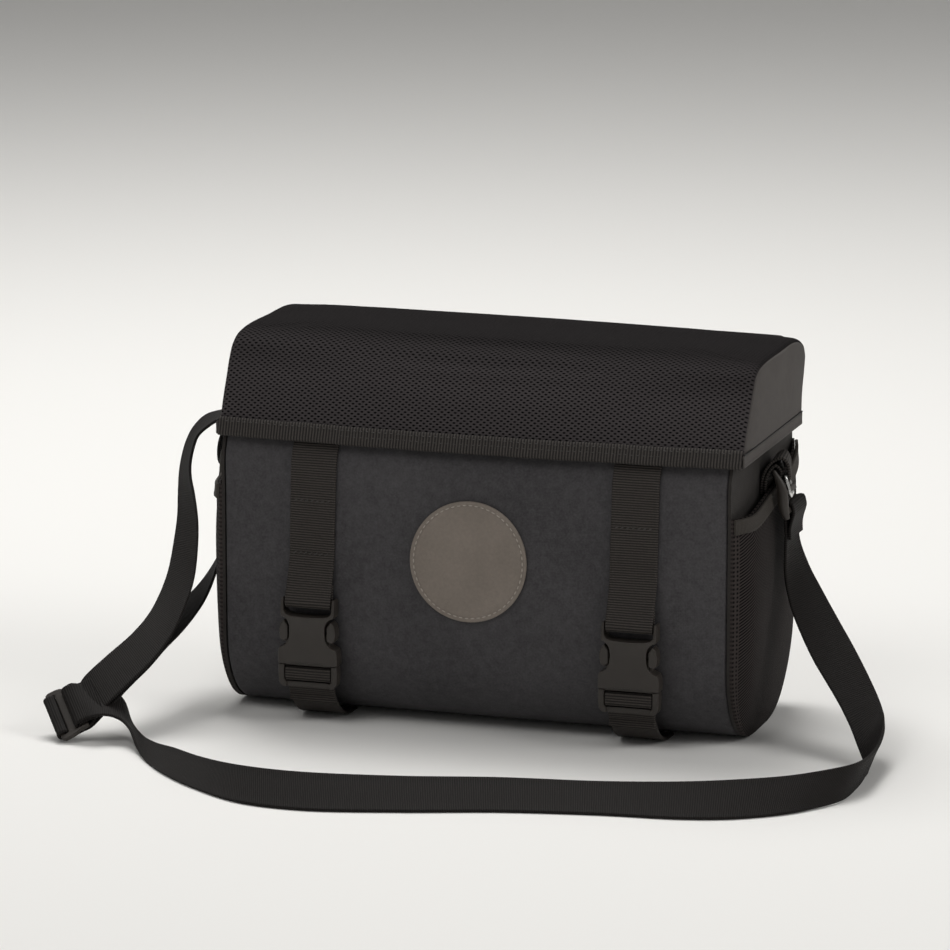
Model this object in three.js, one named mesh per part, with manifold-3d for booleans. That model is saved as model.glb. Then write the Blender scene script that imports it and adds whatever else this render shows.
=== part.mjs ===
// A bicycle handlebar bag with a padded mesh lid, two buckled straps, side pockets and a shoulder strap.
// Sizes in millimetres. X runs across the bag, Y from its front to its back, Z up from its underside.
import * as THREE from 'three';
import { mergeVertices } from 'three/addons/utils/BufferGeometryUtils.js';
import Module from 'manifold-3d';

const wasm = await Module();
wasm.setup();

const CLEAR = 0.3; // gap between pieces that touch on the real bag

// Body
const BODY_HALF = 136; // half the width of the wrap, from seam to seam
const BODY_DEPTH = 122;
const BODY_HEIGHT = 156; // at the front rim
const BACK_RIM = BODY_HEIGHT - 6.6; // height of the back rim, where the lid is hinged
const BODY_WALL = 2;
const FRONT_RADIUS = 43; // from the front into the underside
const REAR_RADIUS = 48; // from the underside into the back
const FRONT_SWELL = 8; // how far the middle of the front stands out
const PANEL_WALL = 1.6;
const PANEL_SWELL = 2;

// Lid
const LID_HALF = 142;
const LID_SHIFT = 1.5; // the lid sits a little to the right of the body
const LID_DEPTH = 121.8;
const LID_FRONT = -60.8;
const LID_HEIGHT = 48.6; // from its hem to its top
const LID_WALL = 3;
const LID_SWELL = 2.3;
const LID_PUSH = 3; // how far the lid's left end stands out past its right end
const CAP_WALL = 2;
const BINDING_HEIGHT = 9.5;
const BINDING_WALL = 1.2;
const PIPING_RADIUS = 1.2;

// Side pockets
const POCKET_BULGE = 9;
const POCKET_WALL = 1.2;
const BAND_HEIGHT = 8;
const BAND_WALL = 1.6;

// Webbing
const WEB_WIDTH = 25;
const WEB_THICK = 1.5;
const STRAP_X = 87; // from the middle of the two front straps out to the middle of each
const STRAP_SHIFT = 1.3; // the straps sit a little to the right
const STRAP_HEM = BODY_HEIGHT - 1; // height where a front strap passes under the lid's hem

// Buckles, with heights below measured down from the tops of the ears
const BUCKLE_TOP = 68.5;
const BUCKLE_GAP = 0.4; // between the front of the bag and a buckle's back
const SOCKET_THICK = 9.5;
const SOCKET_HEIGHT = 35;
const SOCKET_WIDTH = 32.7; // at its open lower edge
const SOCKET_ARCH = 1.6;
const EAR_WIDTH = 1.2;
const EAR_DEPTH = 8.3;
const EAR_PLAY = 0.65; // between the webbing's edge and an ear
const BAR_DROP = 2.2; // bar's middle below the tops of the ears
const BAR_RADIUS = 1.4;
const WAIST_HALF = 10;
const WAIST_TOP = 10;
const WAIST_FOOT = 24.8;
const CAVITY_HALF = 12.4;
const CAVITY_THICK = 5.4;
const FRAME_FOOT = 47.5;
const FRAME_THICK = 6.4;
const FOOT_BAR = 2.9;
const LADDER_BAR = 3.6;
const LADDER_THICK = 2.6;
const THIN_BAR = 3.2; // thickness of the foot bar, front to back
const TAB_REACH = 15.5;
const TAB_THICK = 8;

// Patch
const PATCH_X = 0;
const PATCH_Z = 93;
const PATCH_RADIUS = 31.5;
const PATCH_WALL = 1.4;

// Fittings on the sides, which hang in line with one leaning direction
const FITTING_Y = 2;
const HOOK_TOP_OUT = 12.3; // hook's top, out from the side of the bag
const HOOK_TOP_Z = BODY_HEIGHT - 16;
const HOOK_LEAN = 0.288; // radians
const HOOK_THICK = 2.6;
const HOOK_RAIL = 3;
const HOOK_LENGTH = 26;
const HOOK_FOOT = 23.5; // foot of the lower bar below the hook's top
const TONGUE_TOP = 11.7; // top of the hook's tongue below its top
const RING_WIRE = 1.2; // radius
const RING_HALF = 14.2;
const RING_TOP = 5.4; // ring's top bar below the hook's top
const RING_CORNER = 2;

// Slider on the shoulder strap: it lies tilted, with one end on the floor
const GLIDE_AT = new THREE.Vector3(-198, -134, 13.1);
const GLIDE_LONG = new THREE.Vector3(-0.557, 0.612, 0.561).normalize();
const GLIDE_HALF = 15.5;
const GLIDE_THICK = 2.4;
const GLIDE_BAR = 3; // outer bars
const GLIDE_MIDDLE = 3.5; // middle bar
const GLIDE_CORNER = 2.5;

const HALF_DEPTH = BODY_DEPTH / 2;
const HALF_WEB = WEB_THICK / 2;
const WEB_STEP = WEB_THICK + CLEAR; // from one layer of webbing to the next
const SIDE_X = BODY_HALF + CLEAR + PANEL_WALL;
const LID_LEVEL = BACK_RIM + CLEAR;
const X_AXIS = new THREE.Vector3(1, 0, 0);
const Y_AXIS = new THREE.Vector3(0, 1, 0);
const Z_AXIS = new THREE.Vector3(0, 0, 1);

// Front of the body from its rim down to the round bottom: height and lean back as shares of
// BODY_HEIGHT and BODY_DEPTH, and the share of FRONT_SWELL.
const FRONT_ROWS = [
  { up: 1, lean: 0.057, swell: 0 },
  { up: 0.962, lean: 0.033, swell: 0.05 },
  { up: 0.897, lean: 0, swell: 0.2 },
  { up: 0.788, lean: 0, swell: 0.5 },
  { up: 0.654, lean: 0, swell: 0.8 },
  { up: 0.526, lean: 0, swell: 0.97 },
  { up: 0.41, lean: 0, swell: 1 },
  { up: 0.327, lean: 0, swell: 0.95 },
];
const ARC_SWELL = 0.85; // share of the swell where the round bottom starts

// Rim of a side panel: place along the depth, and height, as shares of BODY_DEPTH and BODY_HEIGHT.
const RIM_ROWS = [
  { along: 0, up: 1 },
  { along: 0.13, up: 0.989 },
  { along: 0.9, up: 0.987 },
  { along: 0.959, up: BACK_RIM / BODY_HEIGHT },
  { along: 1, up: BACK_RIM / BODY_HEIGHT },
];

// Lid from its front hem over the top to its back hem, as shares of LID_DEPTH and LID_HEIGHT,
// and the shares of LID_SWELL and, at its left end, of LID_PUSH.
const LID_ROWS = [
  { back: 0, up: 0, swell: 1, push: 0 },
  { back: 0.029, up: 0.186, swell: 1, push: 0.2 },
  { back: 0.064, up: 0.355, swell: 1, push: 0.5 },
  { back: 0.109, up: 0.535, swell: 1, push: 0.8 },
  { back: 0.15, up: 0.693, swell: 0.9, push: 1 },
  { back: 0.18, up: 0.81, swell: 0.85, push: 1 },
  { back: 0.204, up: 0.89, swell: 0.8, push: 1 },
  { back: 0.25, up: 0.949, swell: 0.75, push: 1 },
  { back: 0.316, up: 0.983, swell: 0.7, push: 0.95 },
  { back: 0.423, up: 1, swell: 0.7, push: 0.9 },
  { back: 0.62, up: 1, swell: 0.7, push: 0.8 },
  { back: 0.827, up: 1, swell: 0.7, push: 0.75 },
  { back: 0.926, up: 0.968, swell: 0.6, push: 0.7 },
  { back: 0.992, up: 0.915, swell: 0.4, push: 0.6 },
  { back: 1.041, up: 0.837, swell: 0.3, push: 0.5 },
  { back: 1.06, up: 0.736, swell: 0.3, push: 0.4 },
  { back: 1.045, up: 0.556, swell: 0.25, push: 0.3 },
  { back: 1.021, up: 0.387, swell: 0.2, push: 0.2 },
  { back: 1.006, up: 0.2, swell: 0.1, push: 0.1 },
  { back: 1, up: 0, swell: 0, push: 0 },
];
const PIPING_ROW = 13; // row of the lid's top back edge

// Top edge of a pocket: place along the depth, and height, as shares of BODY_DEPTH and BODY_HEIGHT.
const POCKET_ROWS = [
  { along: 0, up: 0.79 },
  { along: 0.13, up: 0.788 },
  { along: 0.25, up: 0.806 },
  { along: 0.37, up: 0.822 },
  { along: 0.6, up: 0.845 },
  { along: 0.87, up: 0.885 },
  { along: 1, up: 0.905 },
];

// Loose run of a lower strap from the bag's underside to its buckle: way to the buckle and height,
// as shares of that run.
const LOWER_ROWS = [
  { along: 0, up: 0.036 },
  { along: 0.13, up: 0.04 },
  { along: 0.287, up: 0.035 },
  { along: 0.443, up: 0.046 },
  { along: 0.6, up: 0.12 },
  { along: 0.756, up: 0.278 },
  { along: 0.9, up: 0.537 },
  { along: 0.98, up: 0.8 },
];

// The shoulder strap's route, chosen by hand: the middle of the webbing, the bearing of its width
// from the lower or front edge to the upper or back one, and that edge's rise, in degrees. It was
// drawn for hooks at ROUTE_TOP, and its upper parts follow the hooks' height.
const ROUTE_TOP = 140;
const RIGHT_FALL = [
  { x: 154.1, y: 0.5, z: 98.3, az: 88, el: 0 },
  { x: 157.6, y: -1.9, z: 84.4, az: 75, el: 2 },
  { x: 164.2, y: -8, z: 72.4, az: 63, el: 8 },
  { x: 173.6, y: -16.1, z: 59.6, az: 54, el: 10 },
  { x: 183.4, y: -24.8, z: 48.1, az: 50, el: 12 },
  { x: 192.8, y: -33.1, z: 37.9, az: 53, el: 9 },
  { x: 201.6, y: -41.4, z: 27.9, az: 58, el: 8 },
  { x: 208.1, y: -48.9, z: 19.5, az: 65, el: 18 },
];
// On the floor the lower edge touches it, which gives the height.
const FLOOR_RUN = [
  { x: 215, y: -61.5, az: 70, el: 50 },
  { x: 217.2, y: -76.5, az: 77, el: 38 },
  { x: 218.2, y: -95.1, az: 78, el: 34.6 },
  { x: 216.5, y: -124.6, az: 74, el: 40 },
  { x: 205.2, y: -142.5, az: 80, el: 39 },
  { x: 192.3, y: -154.8, az: 90, el: 36 },
  { x: 169.4, y: -169.3, az: 98.7, el: 34.7 },
  { x: 144.8, y: -176.7, az: 102, el: 31 },
  { x: 105.4, y: -181, az: 105, el: 25 },
  { x: 55.8, y: -191.4, az: 109, el: 26.6 },
  { x: 8.5, y: -206.9, az: 111, el: 29 },
  { x: -38.8, y: -218.8, az: 112, el: 33 },
  { x: -71.1, y: -215.6, az: 107, el: 32 },
  { x: -101.4, y: -196.5, az: 100, el: 23 },
  { x: -124.2, y: -176.9, az: 99, el: 19.5 },
  { x: -143.4, y: -155.4, az: 101, el: 12.3 },
  { x: -155.2, y: -140.5, az: 106, el: 1 },
];
const ARCH = [
  { x: -164.2, y: -129.6, z: 4.6, az: 110, el: -10 },
  { x: -171, y: -124, z: 10.6, az: 107, el: -10 },
  { x: -177, y: -126.6, z: 16.1, az: 108, el: 4 },
  { x: -183.4, y: -131, z: 19.4, az: 113, el: 21 },
];
const BACK_LAYER = [
  { x: -185.6, y: -124.2, z: 19.4, az: 134, el: 33 },
  { x: -177.1, y: -110.1, z: 30.8, az: 136, el: 28 },
  { x: -170.5, y: -94.5, z: 38.6, az: 133, el: 25 },
  { x: -167.4, y: -78.6, z: 43.3, az: 127, el: 20 },
  { x: -164.5, y: -60.8, z: 47.2, az: 122, el: 16 },
  { x: -162.2, y: -44.2, z: 51.9, az: 118, el: 12 },
  { x: -160.6, y: -31, z: 56.9, az: 115, el: 8 },
  { x: -159.4, y: -19.5, z: 63.5, az: 111, el: 4 },
  { x: -158, y: -9, z: 73, az: 106, el: 0 },
  { x: -156.2, y: -2, z: 85, az: 99, el: 0 },
  { x: -154.4, y: 1, z: 98, az: 93, el: 0 },
];
const LEFT_RISE = [
  { x: -158.6, y: 2, z: 127.6, az: 90, el: 0 },
  { x: -158, y: 2, z: 134, az: 90, el: 0 },
  { x: -156.3, y: 2.2, z: 139.6, az: 90, el: 1 },
  { x: -154.8, y: 2.4, z: 143.4, az: 90, el: 2 },
];
const OUTER_LAYER = [
  { x: -157.2, y: 2.5, z: 146.8, az: 90, el: 3 },
  { x: -165.7, y: 2.3, z: 143.6, az: 92, el: 10 },
  { x: -172, y: 0.8, z: 139.7, az: 99, el: 16 },
  { x: -175.8, y: -1.7, z: 133.3, az: 109, el: 17 },
  { x: -177.6, y: -5.1, z: 125.8, az: 116, el: 13 },
  { x: -177.6, y: -9.5, z: 116.4, az: 123, el: 0 },
  { x: -174.2, y: -17.5, z: 106.2, az: 130, el: -9 },
  { x: -169.6, y: -28.2, z: 96.1, az: 135, el: -6 },
  { x: -165.9, y: -41.2, z: 84.7, az: 140, el: -6 },
  { x: -162.8, y: -57, z: 71.5, az: 142, el: 1 },
  { x: -162.4, y: -72.4, z: 60.4, az: 142, el: 5 },
  { x: -163.9, y: -86.5, z: 50.9, az: 141, el: 13 },
  { x: -168.8, y: -100.3, z: 41.8, az: 139, el: 21 },
  { x: -177.4, y: -114, z: 32.2, az: 139, el: 26 },
  { x: -186.2, y: -125.9, z: 22, az: 136, el: 32 },
];

// Geometry helpers

function closedGeometry(points, triangles) {
  const geometry = new THREE.BufferGeometry();
  let volume = 0;
  for (const [a, b, c] of triangles) {
    volume += points[a].dot(new THREE.Vector3().crossVectors(points[b], points[c]));
  }
  const facing = volume > 0 ? triangles : triangles.map(([a, b, c]) => [a, c, b]);
  geometry.setAttribute('position', new THREE.Float32BufferAttribute(points.flatMap((p) => p.toArray()), 3));
  geometry.setIndex(facing.flat());
  return geometry;
}

// A wall between two grids of points that have the same rows and columns.
function sheet(outer, inner) {
  const columns = outer[0].length;
  const rows = outer.length;
  const points = [...outer.flat(), ...inner.flat()];
  const triangles = [];
  const out = (row, column) => row * columns + column;
  const into = (row, column) => (rows + row) * columns + column;
  const quad = (a, b, c, d) => triangles.push([a, b, c], [a, c, d]);
  for (let r = 0; r < rows - 1; r++) {
    for (let c = 0; c < columns - 1; c++) {
      quad(out(r, c), out(r, c + 1), out(r + 1, c + 1), out(r + 1, c));
      quad(into(r, c), into(r + 1, c), into(r + 1, c + 1), into(r, c + 1));
    }
    quad(out(r, 0), out(r + 1, 0), into(r + 1, 0), into(r, 0));
    quad(out(r + 1, columns - 1), out(r, columns - 1), into(r, columns - 1), into(r + 1, columns - 1));
  }
  for (let c = 0; c < columns - 1; c++) {
    quad(out(0, c + 1), out(0, c), into(0, c), into(0, c + 1));
    quad(out(rows - 1, c), out(rows - 1, c + 1), into(rows - 1, c + 1), into(rows - 1, c));
  }
  return closedGeometry(points, triangles);
}

// A body through rings of points, closed by flat ends or round on itself.
function loft(rings, closed) {
  const sides = rings[0].length;
  const points = rings.flat();
  const triangles = [];
  const spans = closed ? rings.length : rings.length - 1;
  for (let r = 0; r < spans; r++) {
    const next = (r + 1) % rings.length;
    for (let s = 0; s < sides; s++) {
      const t = (s + 1) % sides;
      triangles.push([r * sides + s, r * sides + t, next * sides + t]);
      triangles.push([r * sides + s, next * sides + t, next * sides + s]);
    }
  }
  if (!closed) {
    const last = (rings.length - 1) * sides;
    for (let s = 1; s < sides - 1; s++) {
      triangles.push([0, s + 1, s], [last, last + s, last + s + 1]);
    }
  }
  return closedGeometry(points, triangles);
}

// Flat webbing through stations, each with its middle and the direction of its width.
function webbing(stations) {
  const rings = stations.map(({ at, across }, i) => {
    const before = stations[Math.max(i - 1, 0)].at;
    const after = stations[Math.min(i + 1, stations.length - 1)].at;
    const arriving = at.clone().sub(before).normalize();
    const leaving = after.clone().sub(at).normalize();
    const along = arriving.clone().add(leaving).normalize();
    const bend = i > 0 && i < stations.length - 1 ? Math.max(arriving.dot(along), 0.6) : 1;
    const half = across.clone().multiplyScalar(WEB_WIDTH / 2);
    const thick = new THREE.Vector3().crossVectors(along, across).normalize().multiplyScalar(HALF_WEB / bend);
    return [[-1, -1], [1, -1], [1, 1], [-1, 1]].map(([side, face]) => (
      at.clone().addScaledVector(half, side).addScaledVector(thick, face)
    ));
  });
  return loft(rings, false);
}

// A round rod along points, with its section turned round a fixed direction.
function rod(path, radius, sides, closed, aside) {
  const rings = path.map((at, i) => {
    const before = closed ? path[(i + path.length - 1) % path.length] : path[Math.max(i - 1, 0)];
    const after = closed ? path[(i + 1) % path.length] : path[Math.min(i + 1, path.length - 1)];
    const along = after.clone().sub(before).normalize();
    const second = new THREE.Vector3().crossVectors(along, aside).normalize();
    return Array.from({ length: sides }, (_, s) => {
      const turn = (2 * Math.PI * s) / sides;
      return at.clone().addScaledVector(aside, radius * Math.cos(turn)).addScaledVector(second, radius * Math.sin(turn));
    });
  });
  return loft(rings, closed);
}

// A flat plate from an outline and holes, drawn along two directions and centred on its thickness.
function plate(outline, holes, thick, first, second) {
  const shape = new THREE.Shape(outline.map(([a, b]) => new THREE.Vector2(a, b)));
  shape.holes = holes.map((hole) => new THREE.Path(hole.map(([a, b]) => new THREE.Vector2(a, b))));
  const geometry = new THREE.ExtrudeGeometry(shape, { depth: thick, bevelEnabled: false });
  geometry.translate(0, 0, -thick / 2);
  const third = new THREE.Vector3().crossVectors(first, second);
  return geometry.applyMatrix4(new THREE.Matrix4().makeBasis(first, second, third));
}

function mirrorOutline(half) {
  return [...half, ...half.map(([a, b]) => [-a, b]).reverse()];
}

// A rectangle with round corners, counted round from its lower right one.
function roundedBox(left, right, foot, top, radius, steps) {
  const corners = [
    [right - radius, foot + radius, -Math.PI / 2],
    [right - radius, top - radius, 0],
    [left + radius, top - radius, Math.PI / 2],
    [left + radius, foot + radius, Math.PI],
  ];
  return corners.flatMap(([a, b, start]) => Array.from({ length: steps + 1 }, (_, k) => {
    const turn = start + (Math.PI / 2) * (k / steps);
    return [a + radius * Math.cos(turn), b + radius * Math.sin(turn)];
  }));
}

function solid(geometry) {
  const bare = geometry.clone();
  bare.deleteAttribute('normal');
  bare.deleteAttribute('uv');
  const merged = mergeVertices(bare);
  return new wasm.Manifold(new wasm.Mesh({
    numProp: 3,
    vertProperties: new Float32Array(merged.attributes.position.array),
    triVerts: new Uint32Array(merged.index.array),
  }));
}

function geometryOf(manifold) {
  const mesh = manifold.getMesh();
  const geometry = new THREE.BufferGeometry();
  geometry.setAttribute('position', new THREE.BufferAttribute(mesh.vertProperties, 3));
  geometry.setIndex(new THREE.BufferAttribute(mesh.triVerts, 1));
  return geometry;
}

function tableValue(rows, share, key) {
  const next = Math.max(rows.findIndex((row) => row.along >= share), 1);
  const a = rows[next - 1];
  const b = rows[next];
  return a[key] + ((b[key] - a[key]) * (share - a.along)) / (b.along - a.along);
}

function steps(count) {
  return Array.from({ length: count + 1 }, (_, k) => k / count);
}

// Outward directions along a profile that runs from front to back below the bag, or over it.
function withNormals(rows, turn) {
  return rows.map((row, i) => {
    const before = rows[Math.max(i - 1, 0)];
    const after = rows[Math.min(i + 1, rows.length - 1)];
    const y = after.y - before.y;
    const z = after.z - before.z;
    const length = Math.hypot(y, z);
    return { ...row, ny: (turn * z) / length, nz: (-turn * y) / length };
  });
}

// Body

function bodyProfile() {
  const rows = FRONT_ROWS.map(({ up, lean, swell }) => (
    { y: lean * BODY_DEPTH - HALF_DEPTH, z: up * BODY_HEIGHT, swell }
  ));
  for (const share of steps(8)) {
    const turn = (Math.PI / 2) * share;
    rows.push({
      y: -HALF_DEPTH + FRONT_RADIUS * (1 - Math.cos(turn)),
      z: FRONT_RADIUS * (1 - Math.sin(turn)),
      swell: ARC_SWELL * Math.cos(turn) ** 2,
    });
  }
  for (const share of steps(6)) {
    const turn = (Math.PI / 2) * share;
    rows.push({
      y: HALF_DEPTH - REAR_RADIUS * (1 - Math.sin(turn)),
      z: REAR_RADIUS * (1 - Math.cos(turn)),
      swell: 0,
    });
  }
  for (const share of steps(3).slice(1)) {
    rows.push({ y: HALF_DEPTH, z: REAR_RADIUS + (BACK_RIM - REAR_RADIUS) * share, swell: 0 });
  }
  return withNormals(rows, 1);
}

const PROFILE = bodyProfile();
const FRONT_COUNT = FRONT_ROWS.length + 8; // rows down to the end of the front's arc

function bodyPoint(row, x, lift) {
  const out = FRONT_SWELL * row.swell * (1 - Math.abs(x / BODY_HALF) ** 3) + lift;
  return new THREE.Vector3(x, row.y + row.ny * out, row.z + row.nz * out);
}

// The body's front surface at a place across and a height, out to a lift above it.
function frontPoint(x, z, lift) {
  const next = Math.max(PROFILE.findIndex((row) => row.z <= z), 1);
  const upper = PROFILE[next - 1];
  const lower = PROFILE[next];
  const share = (upper.z - z) / (upper.z - lower.z);
  return bodyPoint(upper, x, lift).lerp(bodyPoint(lower, x, lift), share);
}

function frontEdge(z) {
  return frontPoint(BODY_HALF, Math.max(z, PROFILE[FRONT_COUNT].z), 0).y;
}

function backEdge(z) {
  if (z >= REAR_RADIUS) return HALF_DEPTH;
  return HALF_DEPTH - REAR_RADIUS + Math.sqrt(REAR_RADIUS ** 2 - (REAR_RADIUS - z) ** 2);
}

function bodyWrap() {
  const stations = steps(12).map((share) => BODY_HALF * (2 * share - 1));
  return sheet(
    PROFILE.map((row) => stations.map((x) => bodyPoint(row, x, 0))),
    PROFILE.map((row) => stations.map((x) => bodyPoint(row, x, -BODY_WALL))),
  );
}

// How full a side bulges at shares of the depth and of its height.
function fullness(s, r) {
  return (1 - Math.abs(2 * s - 1) ** 3.2) * (1 - (1 - r) ** 3);
}

// How full a pocket bulges: most near its front seam and low down, less where its band draws it in.
function pocketFullness(s, r) {
  const squareness = s < 0.5 ? 6 : 3;
  return (1 - Math.abs(2 * s - 1) ** squareness) * (1 - (1 - r) ** 4) * (1 - 0.35 * r ** 10);
}

function sidePoint(side, s, z, out) {
  const front = frontEdge(z);
  return new THREE.Vector3(side * out, front + (backEdge(z) - front) * s, z);
}

function panelDome(s, h) {
  return PANEL_SWELL * fullness(s, h) * (1 - h ** 6);
}

function sidePanel(side) {
  const heights = [0, 0.02, 0.05, 0.1, 0.18, 0.28, 0.45, 0.65, 0.85, 1];
  const stations = [...steps(10).slice(0, -1), RIM_ROWS[3].along, 1];
  const grid = (wall) => heights.map((h) => stations.map((s) => {
    const z = h * BODY_HEIGHT * tableValue(RIM_ROWS, s, 'up');
    return sidePoint(side, s, z, BODY_HALF + CLEAR + wall + panelDome(s, h));
  }));
  return sheet(grid(PANEL_WALL), grid(0));
}

function pocketPoint(side, s, r, lift) {
  const z = r * BODY_HEIGHT * tableValue(POCKET_ROWS, s, 'up');
  return sidePoint(side, s, z, SIDE_X + CLEAR + POCKET_BULGE * pocketFullness(s, r) + lift);
}

function pocket(side) {
  const heights = [0, 0.03, 0.08, 0.16, 0.28, 0.42, 0.6, 0.8, 1];
  const grid = (lift) => heights.map((r) => steps(12).map((s) => pocketPoint(side, s, r, lift)));
  return sheet(grid(POCKET_WALL), grid(0));
}

function pocketBand(side) {
  const reach = BAND_HEIGHT / (0.8 * BODY_HEIGHT);
  const grid = (lift) => [1 - reach, 1 - reach / 2, 1].map((r) => (
    steps(12).map((s) => pocketPoint(side, s, r, POCKET_WALL + CLEAR + lift))
  ));
  return sheet(grid(BAND_WALL), grid(0));
}

function patch() {
  const rings = [0.01, 0.35, 0.7, 1].map((share) => share * PATCH_RADIUS);
  const face = (radius, lift) => steps(32).slice(1).map((share) => {
    const turn = 2 * Math.PI * share;
    return frontPoint(PATCH_X + radius * Math.cos(turn), PATCH_Z + radius * Math.sin(turn), lift);
  });
  return loft([
    ...rings.map((radius) => face(radius, CLEAR)),
    ...rings.reverse().map((radius) => face(radius, CLEAR + PATCH_WALL)),
  ], false);
}

// Lid

const LID_PROFILE = withNormals(LID_ROWS.map(({ back, up, swell, push }) => (
  { y: LID_FRONT + back * LID_DEPTH, z: LID_LEVEL + up * LID_HEIGHT, swell, push }
)), -1);

function lidPoint(row, across, half, lift) {
  const pushed = LID_PUSH * row.push * ((1 - across) / 2) ** 2;
  const out = LID_SWELL * row.swell * (1 - Math.abs(across) ** 6) + pushed + lift;
  return new THREE.Vector3(LID_SHIFT + across * half, row.y + row.ny * out, row.z + row.nz * out);
}

function lidPanel() {
  const half = LID_HALF - CAP_WALL - CLEAR;
  const stations = [-1, -0.93, -0.8, -0.55, -0.25, 0.05, 0.35, 0.6, 0.8, 0.93, 1];
  const grid = (lift) => LID_PROFILE.map((row) => stations.map((across) => {
    const point = lidPoint(row, across, half, lift);
    point.z = Math.max(point.z, LID_LEVEL);
    return point;
  }));
  return sheet(grid(0), grid(-LID_WALL));
}

function lidSide(side) {
  const outline = LID_PROFILE.map((row) => lidPoint(row, side, LID_HALF, 0)).map(({ y, z }) => [y, z]);
  const cap = plate(outline, [], CAP_WALL, Y_AXIS, Z_AXIS);
  return cap.translate(LID_SHIFT + side * (LID_HALF - CAP_WALL / 2), 0, 0);
}

function lidBinding() {
  const half = LID_HALF - CAP_WALL - CLEAR;
  const grid = (lift) => [0, 0.5, 1].map((share) => steps(10).map((place) => {
    const hem = lidPoint(LID_PROFILE[0], 2 * place - 1, half, CLEAR + lift);
    const above = lidPoint(LID_PROFILE[1], 2 * place - 1, half, CLEAR + lift);
    const reach = (share * BINDING_HEIGHT) / hem.distanceTo(above);
    const point = hem.lerp(above, reach);
    point.z = Math.max(point.z, LID_LEVEL);
    return point;
  }));
  return sheet(grid(BINDING_WALL), grid(0));
}

function lidPiping() {
  const half = LID_HALF - CAP_WALL - CLEAR;
  const path = steps(8).map((place) => (
    lidPoint(LID_PROFILE[PIPING_ROW], 2 * place - 1, half, CLEAR + PIPING_RADIUS)
  ));
  return rod(path, PIPING_RADIUS, 8, false, Z_AXIS);
}

// Buckles and their straps

const NEAR_EDGE = STRAP_X - STRAP_SHIFT - SOCKET_WIDTH / 2; // a buckle's edge nearest the middle, where the front swells more
const BUCKLE_Y = frontPoint(NEAR_EDGE, BUCKLE_TOP - WAIST_TOP, 0).y - BUCKLE_GAP - SOCKET_THICK / 2;
const WINDOW_HALF = WEB_WIDTH / 2 + 0.4;
const SLOT = WEB_THICK + 2 * CLEAR + 0.4;
const LADDER_FOOT = BUCKLE_TOP - FRAME_FOOT + FOOT_BAR + SLOT;
const LADDER_Z = LADDER_FOOT + LADDER_BAR / 2;
const BEHIND_LADDER = LADDER_THICK / 2 + 1.5 * CLEAR + HALF_WEB;
const BEHIND_FOOT = THIN_BAR / 2 + CLEAR + HALF_WEB;

function buckleSocket() {
  const ear = WEB_WIDTH / 2 + EAR_PLAY;
  const outer = ear + EAR_WIDTH;
  const outline = mirrorOutline([
    [0, -EAR_DEPTH - 0.7],
    [0.7 * ear, -EAR_DEPTH - 0.4],
    [0.92 * ear, -EAR_DEPTH],
    [ear, -0.8 * EAR_DEPTH],
    [ear, 0],
    [outer, 0],
    [outer, -WAIST_TOP],
    [WAIST_HALF, -WAIST_TOP - 0.6],
    [WAIST_HALF, -WAIST_FOOT + 0.8],
    [outer, -WAIST_FOOT],
    [SOCKET_WIDTH / 2, -WAIST_FOOT - 3],
    [SOCKET_WIDTH / 2, -SOCKET_HEIGHT],
    [CAVITY_HALF, -SOCKET_HEIGHT],
    [CAVITY_HALF / 2, -SOCKET_HEIGHT + 0.8 * SOCKET_ARCH],
    [0, -SOCKET_HEIGHT + SOCKET_ARCH],
  ].slice(1, -1));
  const body = solid(plate(outline, [], SOCKET_THICK, X_AXIS, Z_AXIS));
  const roof = EAR_DEPTH + 1.8;
  const hollow = new THREE.BoxGeometry(2 * CAVITY_HALF, CAVITY_THICK, SOCKET_HEIGHT + 2 - roof);
  hollow.translate(0, 0, -(roof + SOCKET_HEIGHT + 2) / 2);
  const bar = new THREE.CylinderGeometry(BAR_RADIUS, BAR_RADIUS, 2 * ear + EAR_WIDTH, 10);
  bar.rotateZ(Math.PI / 2).translate(0, 0, -BAR_DROP);
  return geometryOf(body.subtract(solid(hollow)).add(solid(bar)));
}

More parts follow.
